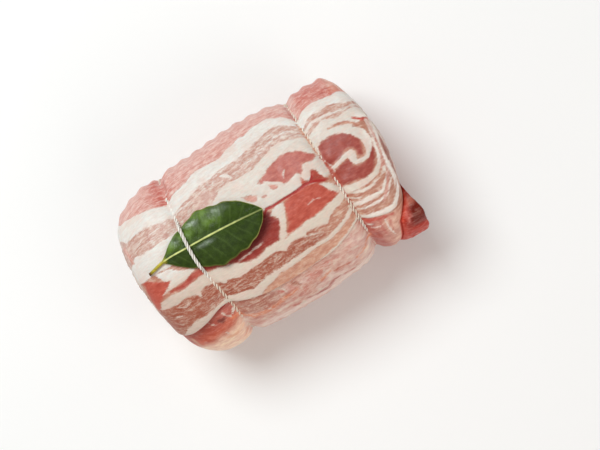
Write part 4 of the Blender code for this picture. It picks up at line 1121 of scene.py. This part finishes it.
STALK_ROWS = 15
LEAF_ROWS = 150
LEAF_COLUMNS = 28          # on each side of the midrib
SIDE_VEINS = 10
# Spots of sheen, where the skin is glossier and a pale sheen is also painted: their middles, and how far they
# reach along and across the roast.
LEAF_SHEEN = [(-50.6, 13, 4, 2.2), (-37, 17.2, 3.4, 1.2), (-20.6, 16.2, 4.4, 2.6), (-35.5, 3.6, 5, 1.4)]


def height_over(x, y):
    """The top of the plain body over a plan point."""
    angle = angle_at(x, y, rounded_radius)
    _, middle_z, _, _ = body(x)
    return middle_z + rounded_radius(x, angle) * np.sin(angle)


def leaf_share(x):
    """0 at the foot of the blade and 1 at its tip."""
    return np.clip((x - LEAF_STALK[1]) / (LEAF_TIP - LEAF_STALK[1]), 0, 1)


def leaf_under(x, y):
    """The height of the leaf's lower face: it lies on the roast, and lifts at its tip and near edge."""
    share = leaf_share(x)
    across = (curve(LEAF_MIDRIB, x) - y) / np.maximum(curve(LEAF_NEAR, share), 2)
    tip = TIP_LIFT * fade(-share, -1, -LIFT_FROM[0])
    near = NEAR_LIFT * fade(-across, -1, 0) * fade(-share, -0.7, -LIFT_FROM[1])
    wave = LEAF_WAVE * (1 + np.sin(x / LEAF_WAVE_REACH) * across) * fade(-np.abs(across), -1, 0)
    return height_over(x, y) + LEAF_CLEAR + tip + near + wave


def leaf_sheen(x, y, far_half):
    """How strongly the leaf's skin mirrors the light: most on a few swells of its far half."""
    spots = [np.exp(-(((x - a) / c) ** 2) - ((y - b) / d) ** 2) for a, b, c, d in LEAF_SHEEN]
    return np.clip(0.05 + 0.12 * far_half + 0.9 * sum(spots), 0, 1)


def leaf_grid():
    """Plan places of the leaf's points, how far across it each lies (-1 to 1), and its half width there."""
    stalk = np.linspace(LEAF_STALK[0], LEAF_STALK[1], STALK_ROWS + 1)[:-1]
    even = np.linspace(0, 1, LEAF_ROWS + 1)
    shares = 0.3 * (1 - np.cos(math.pi * even)) + 0.4 * even
    blade = LEAF_STALK[1] + shares * (LEAF_TIP - LEAF_STALK[1])
    x = np.concatenate([stalk, blade])[:, None]
    across = np.linspace(-1, 1, 2 * LEAF_COLUMNS + 1)[None, :]
    across = 0.55 * across + 0.45 * across ** 3
    half = np.where(across > 0, curve(LEAF_FAR, leaf_share(x)), curve(LEAF_NEAR, leaf_share(x)))
    ruffle = 1 + 0.03 * np.sin(x / 2.9) + 0.02 * np.sin(x / 1.3 + 1)
    y = curve(LEAF_MIDRIB, x) + across * half * np.where(leaf_share(x) > 0.02, ruffle, 1)
    return x + 0 * y, y, across, half


def side_veins(x, y, across, half):
    """Veins that leave the midrib towards the tip and bend with the edge: a point's place in their row,
    and how strongly it lies on one of them."""
    share = leaf_share(x) - 0.18 * np.abs(across) + 0.05 * across ** 2 + 0.012 * noise(x / 8, y / 8, seed=50)
    phase = share * SIDE_VEINS + np.where(across > 0, 0.35, 0)
    to_vein = np.abs(phase - np.round(phase)) / SIDE_VEINS * (LEAF_TIP - LEAF_STALK[1])
    vein = np.exp(-((to_vein / 0.45) ** 2)) * rise(np.abs(across) * half, 0.3, 1.5)
    return phase, vein * rise(1 - np.abs(across), 0.02, 0.25)


def leaf_green(x, y, across, half, vein):
    """The leaf's colours: painted light on its far half and painted shade on its near half, a painted sheen
    where its skin shines, yellowish at rib and rim.
    """
    share, off = leaf_share(x), np.abs(across) * half
    # Painted light and shade: the far half, which faces the lamp, is lighter and the near half darker; the
    # spots of sheen are painted pale.
    light = rise(across, 0.0, 0.5) * rise(-share, -0.75, -0.5) * (0.5 + 0.6 * noise(x / 4, y / 3, seed=52))
    painted_sheen = leaf_sheen(x, y, 0) * (0.6 + 0.5 * noise(x / 2, y / 1.4, seed=54))
    to_edge = (1 - np.abs(across)) * half
    return painted('leaf', x.shape, [
        ('leaf_lit', np.clip(light, 0, 1)),
        ('leaf_shaded', 0.6 * rise(-across, -0.2, 0.6)),
        ('painted_sheen', 0.45 * np.clip(painted_sheen - 0.1, 0, 1)),
        ('vein', 0.15 * vein),
        ('midrib', rise(0.5 - off, -0.1, 0.25) * (1 - 0.75 * rise(share, 0.5, 1))),
        ('leaf_rim', 0.75 * rise(0.55 - to_edge, 0, 0.4) * (0.35 + 0.65 * rise(share, 0.55, 0.9))),
        ('stalk', fade(x, -63, -58) * rise(2.2 - off, 0, 0.6)),
        ('stalk_tip', fade(x, -71.6, -69.5)),
    ])


def bay_leaf(material):
    """The leaf: a lower and an upper face over one plan, joined round their rim."""
    x, y, across, half = leaf_grid()
    share, off = leaf_share(x), np.abs(across) * half
    phase, vein = side_veins(x, y, across, half)
    midrib = np.exp(-((off / 0.55) ** 2))
    thick = LEAF_THICK + (STALK_THICK - LEAF_THICK) * fade(x, LEAF_STALK[1] - 2, LEAF_STALK[1] + 5)
    thick = np.maximum(thick * (1 - 0.75 * across ** 2), LEAF_THICK)
    far_half = rise(across, -0.1, 0.2)
    blister = 0.16 * noise(x / 3.5, y / 2.5, seed=51) + 0.3 * noise(x / 11, y / 6, seed=53)
    blister = blister + 0.05 * np.cos(TURN * phase) * rise(off, 0.5, 5) * (1 - np.abs(across) ** 4)
    blister = blister * rise(share, 0.0, 0.05) * (0.15 + 0.85 * far_half)
    under = leaf_under(x, y)
    top = under + thick + blister + 0.22 * midrib - 0.16 * vein * far_half
    under = under + blister - 0.3 * midrib - 0.1 * vein * far_half
    points = np.concatenate([np.stack([x, y, z], axis=-1).reshape(-1, 3) for z in (under, top)])
    grid = np.arange(x.size).reshape(x.shape)
    faces = grid_faces(grid) + grid_faces(grid + x.size)
    rim = list(grid[0]) + list(grid[1:, -1]) + list(grid[-1, -2::-1]) + list(grid[-2:0:-1, 0])
    faces += [(a, b, b + x.size, a + x.size) for a, b in zip(rim, rim[1:] + rim[:1])]
    layers = {
        'green': np.concatenate([leaf_green(x, y, across, half, vein).reshape(-1, 3)] * 2),
        'flow': points,
        'gloss': np.concatenate([leaf_sheen(x, y, far_half).ravel()] * 2),
    }
    return make_piece('bay_leaf_blade', points, faces, material, layers)


# ---------------------------------------------------------------- twine

PLY_COUNT = 3
PLY_OFF = 0.5              # a ply's middle from the twine's, and a ply's radius
PLY_RADIUS = 0.56
TWIST = 8.4                # length in which the plies go once round
TWINE_SIDES = 27
TWINE_STEP = 0.42
LOOP_POINTS = 900          # points of a loop's path before it is evenly divided
KNOT_POINTS = 44           # points of each wrap of a knot, with how far it is shifted and how it leans
KNOT_WRAPS = ((-0.95, 0.35), (0.95, -0.35))
TAIL_POINTS = 26


def flank_or_slab(x, angle):
    """The outermost meat at an angle, whichever piece it belongs to."""
    angle = angle % TURN
    on_flank = (angle > free_edge(x)) & (angle < HIDDEN_EDGE)
    return np.where(on_flank, flank_radius(x, angle), outer_radius(x, angle))


def smooth_ring(values, reach):
    """A closed row of values averaged over its neighbours."""
    kernel = np.hanning(2 * reach + 1)[1:-1]
    wrapped = np.concatenate([values[-reach:], values, values[:reach]])
    return np.convolve(wrapped, kernel / kernel.sum(), mode='same')[reach:-reach]


def loop_line(path, over_leaf, depth):
    """The middle line of a loop of twine that lies on the meat and on the leaf, evenly divided."""
    angles = np.linspace(0, TURN, LOOP_POINTS, endpoint=False)
    x = ring(path, angles)
    surface = smooth_ring(flank_or_slab(x, angles), 8)
    points = on_body(x, angles, surface - depth(angles))
    points[:, 2] = np.maximum(points[:, 2], TWINE_RADIUS)
    if over_leaf:
        share = leaf_share(x)
        far = curve(LEAF_MIDRIB, x) + curve(LEAF_FAR, share)
        near = curve(LEAF_MIDRIB, x) - curve(LEAF_NEAR, share)
        y, z = points[:, 1], points[:, 2]
        covered = (y < far + 1) & (y > near - 1) & (z > UPPER)
        on_leaf = leaf_under(x, np.clip(y, near, far)) + 2 * LEAF_THICK + 0.3 + TWINE_RADIUS
        raised = np.where(covered, np.maximum(z, on_leaf), z)
        points[:, 2] = np.where(z > UPPER, np.maximum(raised, smooth_ring(raised, 20)), z)
        points[:, 2] = smooth_ring(points[:, 2], 5)
    closed = np.vstack([points, points[:1]])
    lengths = np.concatenate([[0], np.cumsum(np.linalg.norm(np.diff(closed, axis=0), axis=1))])
    count = int(lengths[-1] / TWINE_STEP)
    even = np.arange(count) / count * lengths[-1]
    return np.stack([np.interp(even, lengths, closed[:, k]) for k in range(3)], axis=1), lengths[-1]


def rope(line, turns, closed, thin=1.0):
    """A rope of plies round a line of points, as one closed tube with a lobed, turning section."""
    if closed:
        ahead = np.roll(line, -1, axis=0) - np.roll(line, 1, axis=0)
    else:
        ahead = np.gradient(line, axis=0)
    ahead = ahead / np.linalg.norm(ahead, axis=1)[:, None]
    across = np.cross(ahead, [1.0, 0.02, 0.0])
    across = across / np.linalg.norm(across, axis=1)[:, None]
    beside = np.cross(ahead, across)
    around = np.arange(TWINE_SIDES) / TWINE_SIDES * TURN
    off = (around + math.pi / PLY_COUNT) % (TURN / PLY_COUNT) - math.pi / PLY_COUNT
    lobed = PLY_OFF * np.cos(off) + np.sqrt(PLY_RADIUS ** 2 - (PLY_OFF * np.sin(off)) ** 2)
    turned = around[None, :] + turns[:, None]
    radius = lobed[None, :] * np.broadcast_to(thin, len(line))[:, None]
    fuzz = 1 + 0.05 * noise(turns[:, None] * 5, around[None, :] * 4, seed=60)
    radius = (radius * fuzz)[..., None]
    rings = line[:, None] + radius * (np.cos(turned)[..., None] * across[:, None]
                                      + np.sin(turned)[..., None] * beside[:, None])
    groove = np.broadcast_to((lobed - lobed.min()) / (lobed.max() - lobed.min()), rings.shape[:2])
    grid = np.arange(rings.shape[0] * TWINE_SIDES).reshape(rings.shape[:2])
    if closed:
        shift = int(round(((turns[-1] + (turns[-1] - turns[-2])) % TURN) / TURN * TWINE_SIDES))
        grid = np.vstack([grid, np.roll(grid[:1], -shift, axis=1)])
    faces = grid_faces(grid, around=True)
    if not closed:
        faces += [grid[0].tolist()[::-1], grid[-1].tolist()]
    return rings.reshape(-1, 3), faces, groove.ravel()


def knot(line, at):
    """The ropes of a knot round one point of a loop: two wraps and two tails."""
    middle = line[at]
    ahead = line[(at + 3) % len(line)] - line[at - 3]
    ahead = ahead / np.linalg.norm(ahead)
    outward = np.array([0.0, math.cos(KNOT_ANGLE), math.sin(KNOT_ANGLE)])
    beside = np.cross(ahead, outward)
    circle = np.linspace(0, TURN, KNOT_POINTS, endpoint=False)
    ropes = []
    for shift, leaning in KNOT_WRAPS:
        wrap = (middle + ahead * shift + outward * 0.35
                + 1.45 * np.cos(circle)[:, None] * (beside + ahead * leaning)
                + 1.3 * np.sin(circle)[:, None] * outward)
        ropes.append(rope(wrap, circle, closed=True, thin=0.8))
    share = np.linspace(0, 1, TAIL_POINTS)
    reach = share[:, None] * TAIL_LENGTH
    for aim in TAIL_AIMS:
        tail = middle + outward * 0.6 + reach * np.array(aim) - np.array([0, 0, 0.015]) * reach ** 2
        turns = share * TURN * TAIL_LENGTH / TWIST
        ropes.append(rope(tail, turns, closed=False, thin=0.85 - 0.25 * share ** 6))
    return ropes


def twine_loop(name, path, over_leaf, depth, soak, material):
    """A loop of twine with a knot and two tails low on the far side."""
    line, length = loop_line(path, over_leaf, depth)
    turns = np.arange(len(line)) / len(line) * TURN * round(length / TWIST)
    _, middle_z, _, _ = body(0.0)
    off_knot = np.abs(np.arctan2(line[:, 2] - middle_z, line[:, 1]) % TURN - KNOT_ANGLE)
    points, faces, groove = [], [], []
    ropes = [rope(line, turns, closed=True), *knot(line, int(np.argmin(off_knot)))]
    for part_points, part_faces, part_groove in ropes:
        start = sum(len(done) for done in points)
        faces += [tuple(k + start for k in face) for face in part_faces]
        points.append(part_points)
        groove.append(part_groove)
    points = np.concatenate(points)
    layers = {'groove': np.concatenate(groove), 'soak': soak(points), 'flow': points}
    return make_piece(name, points, faces, material, layers)


# ---------------------------------------------------------------- materials

class Nodes:
    """A material's nodes, made and joined in one call each."""

    def __init__(self, name):
        self.material = bpy.data.materials.new(name)
        self.material.use_nodes = True
        self.tree = self.material.node_tree
        self.shader = self.tree.nodes['Principled BSDF']

    def add(self, kind, sockets=(), **settings):
        node = self.tree.nodes.new(kind)
        for key, value in settings.items():
            setattr(node, key, value)
        self.join(node, dict(sockets))
        return node

    def join(self, node, sockets):
        for key, value in sockets.items():
            socket = node.inputs[key]
            if isinstance(value, bpy.types.NodeSocket):
                self.tree.links.new(value, socket)
            else:
                socket.default_value = value

    def attribute(self, name, output='Fac'):
        return self.add('ShaderNodeAttribute', attribute_name=name).outputs[output]

    def math(self, operation, *values):
        return self.add('ShaderNodeMath', dict(enumerate(values)), operation=operation).outputs[0]

    def plus(self, first, second):
        return self.math('ADD', first, second)

    def times(self, first, second):
        return self.math('MULTIPLY', first, second)

    def ramp(self, value, low, high, start=0.0, end=1.0):
        node = self.add('ShaderNodeMapRange', {'Value': value, 'From Min': low, 'From Max': high,
                                               'To Min': start, 'To Max': end},
                        interpolation_type='SMOOTHSTEP')
        return node.outputs[0]

    def noise(self, vector, stretch, detail=3.0, rough=0.55):
        """Noise with swells of about 1 unit after the coordinates, in millimetres, are stretched."""
        scaled = self.add('ShaderNodeMapping', {'Vector': vector, 'Scale': stretch}).outputs[0]
        return self.add('ShaderNodeTexNoise', {'Vector': scaled, 'Scale': 1.0, 'Detail': detail,
                                               'Roughness': rough}).outputs['Fac']

    def grey(self, value):
        return self.add('ShaderNodeCombineColor', {0: value, 1: value, 2: value}).outputs[0]

    def mix(self, share, first, second, blend='MIX'):
        node = self.add('ShaderNodeMix', {0: share, 6: first, 7: second}, data_type='RGBA', blend_type=blend)
        return node.outputs[2]

    def bump(self, height, strength, distance):
        sockets = {'Height': height, 'Strength': strength, 'Distance': distance}
        return self.add('ShaderNodeBump', sockets).outputs[0]


def rgba(name):
    return (*PAINTS[name], 1.0)


def meat_material(name, gloss=0.45):
    """Moist raw meat: mottled lean with white flecks along the bands, soft-edged fat, and deep red seams with
    their shade painted in.
    """
    nodes = Nodes(name)
    flow = nodes.attribute('flow', 'Vector')
    place = nodes.add('ShaderNodeMapping', {'Vector': nodes.add('ShaderNodeTexCoord').outputs['Object'],
                                            'Scale': (1000.0,) * 3}).outputs[0]
    round_rim, turned = nodes.attribute('round_rim', 'Vector'), nodes.attribute('turned')

    def grain(*look):
        """Noise that runs along the roast, and round the rim of a cut end."""
        along_roast, along_rim = nodes.noise(flow, *look), nodes.noise(round_rim, *look)
        change = nodes.times(turned, nodes.math('SUBTRACT', along_rim, along_roast))
        return nodes.plus(along_roast, change)

    streak = grain((0.11, 0.5, 0.3), 4.0, 0.6)
    hair = grain((0.35, 1.1, 0.8), 4.0, 0.65)
    blotch = grain((0.2, 0.36, 0.36), 4.0, 0.6)
    fine = nodes.noise(place, (1.1,) * 3, 4.0, 0.65)

    lean, white = nodes.attribute('lean', 'Color'), nodes.attribute('white', 'Color')
    shade = nodes.ramp(streak, 0.3, 0.7, 0.9, 1.1)
    shade = nodes.times(shade, nodes.ramp(hair, 0.3, 0.7, 0.86, 1.14))
    shade = nodes.times(shade, nodes.ramp(blotch, 0.3, 0.7, 0.8, 1.2))
    tone = nodes.add('ShaderNodeCombineColor', {0: nodes.math('POWER', shade, 0.5), 1: shade, 2: shade})
    toned = nodes.mix(1.0, lean, tone.outputs[0], 'MULTIPLY')
    flecks = nodes.plus(nodes.times(hair, 0.7), nodes.times(streak, 0.5))
    marble = nodes.attribute('marble')
    toned = nodes.mix(nodes.times(nodes.ramp(flecks, 0.58, 0.76), marble), toned, white)
    veil = nodes.plus(nodes.times(blotch, 0.6), nodes.times(fine, 0.5))
    veiled = nodes.times(nodes.ramp(veil, 0.52, 0.7), nodes.times(marble, 0.6))
    toned = nodes.mix(veiled, toned, white)

    edge = nodes.attribute('fat')
    for swell, reach in ((blotch, 1.6), (hair, 1.8), (fine, 0.8)):
        edge = nodes.plus(edge, nodes.times(nodes.math('SUBTRACT', swell, 0.5), reach))
    fat_share = nodes.ramp(edge, -0.65, 0.55)
    tint = nodes.ramp(nodes.plus(streak, blotch), 0.8, 1.25, 0.0, 0.45)
    fatty = nodes.mix(1.0, nodes.mix(tint, white, rgba('fat_pink')),
                      nodes.grey(nodes.ramp(hair, 0.3, 0.7, 0.93, 1.04)), 'MULTIPLY')
    surface = nodes.mix(fat_share, toned, fatty)
    # Painted shade: the seam colour stands for the red meat deep in the crevice and the shade in it and under
    # the slab's free edge.
    dark = nodes.ramp(nodes.plus(nodes.attribute('dark'),
                                 nodes.times(nodes.math('SUBTRACT', fine, 0.5), 0.8)), -0.55, 0.2)
    surface = nodes.mix(nodes.times(dark, 0.95), surface, rgba('seam'))

    height = nodes.plus(nodes.times(hair, 0.6), nodes.times(fine, 0.5))
    height = nodes.times(height, nodes.ramp(fat_share, 0, 1, 1.0, 0.4))
    rough = nodes.ramp(blotch, 0.35, 0.65, 0.36, 0.52)
    rough = nodes.plus(rough, nodes.times(fat_share, 0.06))
    nodes.join(nodes.shader, {
        'Base Color': surface, 'Roughness': rough, 'Normal': nodes.bump(height, 0.45, 0.0005),
        'Subsurface Weight': 0.15, 'Subsurface Radius': (1.0, 0.42, 0.3), 'Subsurface Scale': 0.0025,
        'Specular IOR Level': gloss,
    })
    return nodes.material


def leaf_material():
    """A leathery glossy leaf: fine net of veins, dull patches, glossier upper face."""
    nodes = Nodes('bay_leaf')
    place = nodes.attribute('flow', 'Vector')
    cells = nodes.add('ShaderNodeTexVoronoi', {'Vector': place, 'Scale': 1.4}, feature='DISTANCE_TO_EDGE')
    net = cells.outputs[0]
    mottle = nodes.noise(place, (0.3,) * 3, 3.0)
    fine = nodes.noise(place, (1.4,) * 3, 3.0)
    green = nodes.attribute('green', 'Color')
    shade = nodes.ramp(mottle, 0.3, 0.7, 0.78, 1.24)
    shade = nodes.times(shade, nodes.ramp(net, 0.0, 0.25, 1.2, 1.0))
    toned = nodes.mix(1.0, green, nodes.grey(shade), 'MULTIPLY')
    height = nodes.plus(nodes.ramp(net, 0.0, 0.3), fine)
    nodes.join(nodes.shader, {
        'Base Color': toned, 'Roughness': 0.6, 'Specular IOR Level': 0.08,
        'Coat Weight': nodes.times(nodes.attribute('gloss'), nodes.ramp(fine, 0.3, 0.6, 0.5, 1.0)),
        'Coat Roughness': 0.11,
        'Normal': nodes.bump(height, 0.3, 0.0002), 'Coat Normal': nodes.bump(height, 0.2, 0.0002),
    })
    return nodes.material


def twine_material():
    """Cotton twine: fibres along the plies, grooves darkened by painted shade and, where soaked, by the
    meat's stain, and stretches soaked by the meat.
    """
    nodes = Nodes('cotton_twine')
    place = nodes.attribute('flow', 'Vector')
    groove = nodes.attribute('groove')
    soak = nodes.attribute('soak')
    fibre = nodes.noise(place, (2.8,) * 3, 4.0, 0.7)
    dry = nodes.mix(nodes.ramp(fibre, 0.3, 0.55), rgba('twine'), rgba('twine_bright'))
    wet = nodes.mix(nodes.ramp(fibre, 0.35, 0.6), rgba('twine_wet'), rgba('twine'))
    toned = nodes.mix(soak, dry, wet)
    # Painted shade in the grooves between the plies; on soaked stretches the grooves hold the meat's stain as
    # well.
    groove_shade_and_stain = nodes.times(nodes.ramp(groove, 0.0, 0.85, 1.0, 0.0), nodes.ramp(soak, 0, 1, 0.8, 1.0))
    toned = nodes.mix(groove_shade_and_stain, toned, nodes.mix(soak, rgba('twine_shade'), rgba('twine_stain')))
    nodes.join(nodes.shader, {
        'Base Color': toned, 'Roughness': nodes.ramp(soak, 0, 1, 0.9, 0.55),
        'Normal': nodes.bump(fibre, 0.6, 0.0003),
    })
    return nodes.material


def floor_material():
    nodes = Nodes('pale_floor')
    place = nodes.add('ShaderNodeTexCoord').outputs['Object']
    shade = nodes.ramp(nodes.noise(place, (3.0,) * 3, 2.0), 0.3, 0.7, 0.0, 1.0)
    nodes.join(nodes.shader, {
        'Base Color': nodes.mix(shade, (0.94, 0.94, 0.94, 1), (0.95, 0.95, 0.95, 1)), 'Roughness': 0.8,
    })
    return nodes.material


# ---------------------------------------------------------------- putting it together

# How deep the middle of the twine lies under the meat's surface, at angles in degrees round the section:
# the free stretches lie on top, and where the meat closes over the twine it can't be seen.
LEFT_DEPTH = [(0, 0.4), (12, 0.8), (22, 1.4), (33, 1.45), (39, 1.1), (45, 0.8), (56, 0.65), (100, 0.2),
              (112, 0.55), (128, 0.7), (140, 0.75), (150, 1.1), (165, 0.9), (200, 0.5), (260, 0.2),
              (360, 0.4)]
RIGHT_DEPTH = [(0, 0.5), (20, 0.8), (32, 1.15), (42, 0.9), (60, 0.8), (76, 0.85), (82, 1.2), (92, 1.2),
               (97, 0.7), (110, 0.6), (136, 0.65), (142, 1.2), (165, 1.0), (200, 0.5), (260, 0.2), (360, 0.5)]


SENSOR = 36.0
LENS = 97.6
CAMERA_TURN = -30          # degrees
WORLD_LIGHT = 0.39
WORLD_TINT = (0.98, 0.92, 0.88, 1)
LIGHTS = [   # name, place, size, power, colour
    ('key', (-0.30, 0.72, 1.26), 0.8, 15.2, (0.93, 0.995, 1.0)),
    ('fill', (0.45, -1.1, 0.75), 1.6, 6.8, (0.99, 0.91, 0.87)),
]
FLOOR_REACH = 3.0


def depth_at(table):
    """A table of depths as a function of an angle in radians."""
    return lambda angles: curve(table, np.degrees(angles))


def left_soak(points):
    """How wet the left loop is: dry where it lies on the leaf and wetter down the sides."""
    y, z = points[:, 1], points[:, 2]
    return np.clip(0.15 + 0.75 * rise(-y, 8, 26) + 0.3 * rise(y, 34, 44) + 0.3 * rise(-z, -70, -50), 0, 1)


def right_soak(points):
    return np.clip(0.72 + 0.25 * noise(points[:, 1] / 5, points[:, 2] / 5, seed=61), 0, 1)


def finish_piece(piece, node):
    """Fixes a piece to the roast in place of a plain solid."""
    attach(piece, 'root')
    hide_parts(node)


def camera_and_lights():
    scene = bpy.context.scene
    data = bpy.data.cameras.new('camera')
    data.sensor_width = SENSOR
    data.lens = LENS
    camera = bpy.data.objects.new('camera', data)
    camera.location = (EYE[0] * MM, EYE[1] * MM, EYE_HEIGHT * MM)
    camera.rotation_euler = (0, 0, math.radians(CAMERA_TURN))
    scene.collection.objects.link(camera)
    scene.camera = camera

    world = bpy.data.worlds.new('world')
    scene.world = world
    world.use_nodes = True
    world.node_tree.nodes['Background'].inputs[0].default_value = WORLD_TINT
    world.node_tree.nodes['Background'].inputs[1].default_value = WORLD_LIGHT
    for name, place, size, power, tint in LIGHTS:
        data = bpy.data.lights.new(name, 'AREA')
        data.shape = 'DISK'
        data.size = size
        data.energy = power
        data.color = tint
        lamp = bpy.data.objects.new(name, data)
        lamp.location = place
        aim = -np.array(place) / np.linalg.norm(place)
        lamp.rotation_euler = (math.acos(-aim[2]), 0, math.atan2(aim[1], aim[0]) - QUARTER)
        scene.collection.objects.link(lamp)
    scene.view_settings.view_transform = 'Standard'
    scene.view_settings.look = 'None'


def floor(material):
    mesh = bpy.data.meshes.new('floor')
    corners = [(x * FLOOR_REACH, y * FLOOR_REACH, 0) for x, y in ((-1, -1), (1, -1), (1, 1), (-1, 1))]
    mesh.from_pydata(corners, [], [(0, 1, 2, 3)])
    mesh.materials.append(material)
    made = bpy.data.objects.new('floor', mesh)
    bpy.context.collection.objects.link(made)


camera_and_lights()
floor(floor_material())
finish_piece(slab_meat(meat_material('belly_meat')), 'belly_slab')
finish_piece(flank_meat(meat_material('flank_meat')), 'belly_flank')
finish_piece(core_meat(meat_material('core_meat', gloss=0.16)), 'pork_loin')
finish_piece(bay_leaf(leaf_material()), 'bay_leaf')
cotton = twine_material()
for name, node, path, over_leaf, depths, soak in (
        ('left_twine', 'twine_left', LEFT_LOOP, True, LEFT_DEPTH, left_soak),
        ('right_twine', 'twine_right', RIGHT_LOOP, False, RIGHT_DEPTH, right_soak)):
    finish_piece(twine_loop(name, path, over_leaf, depth_at(depths), soak, cotton), node)
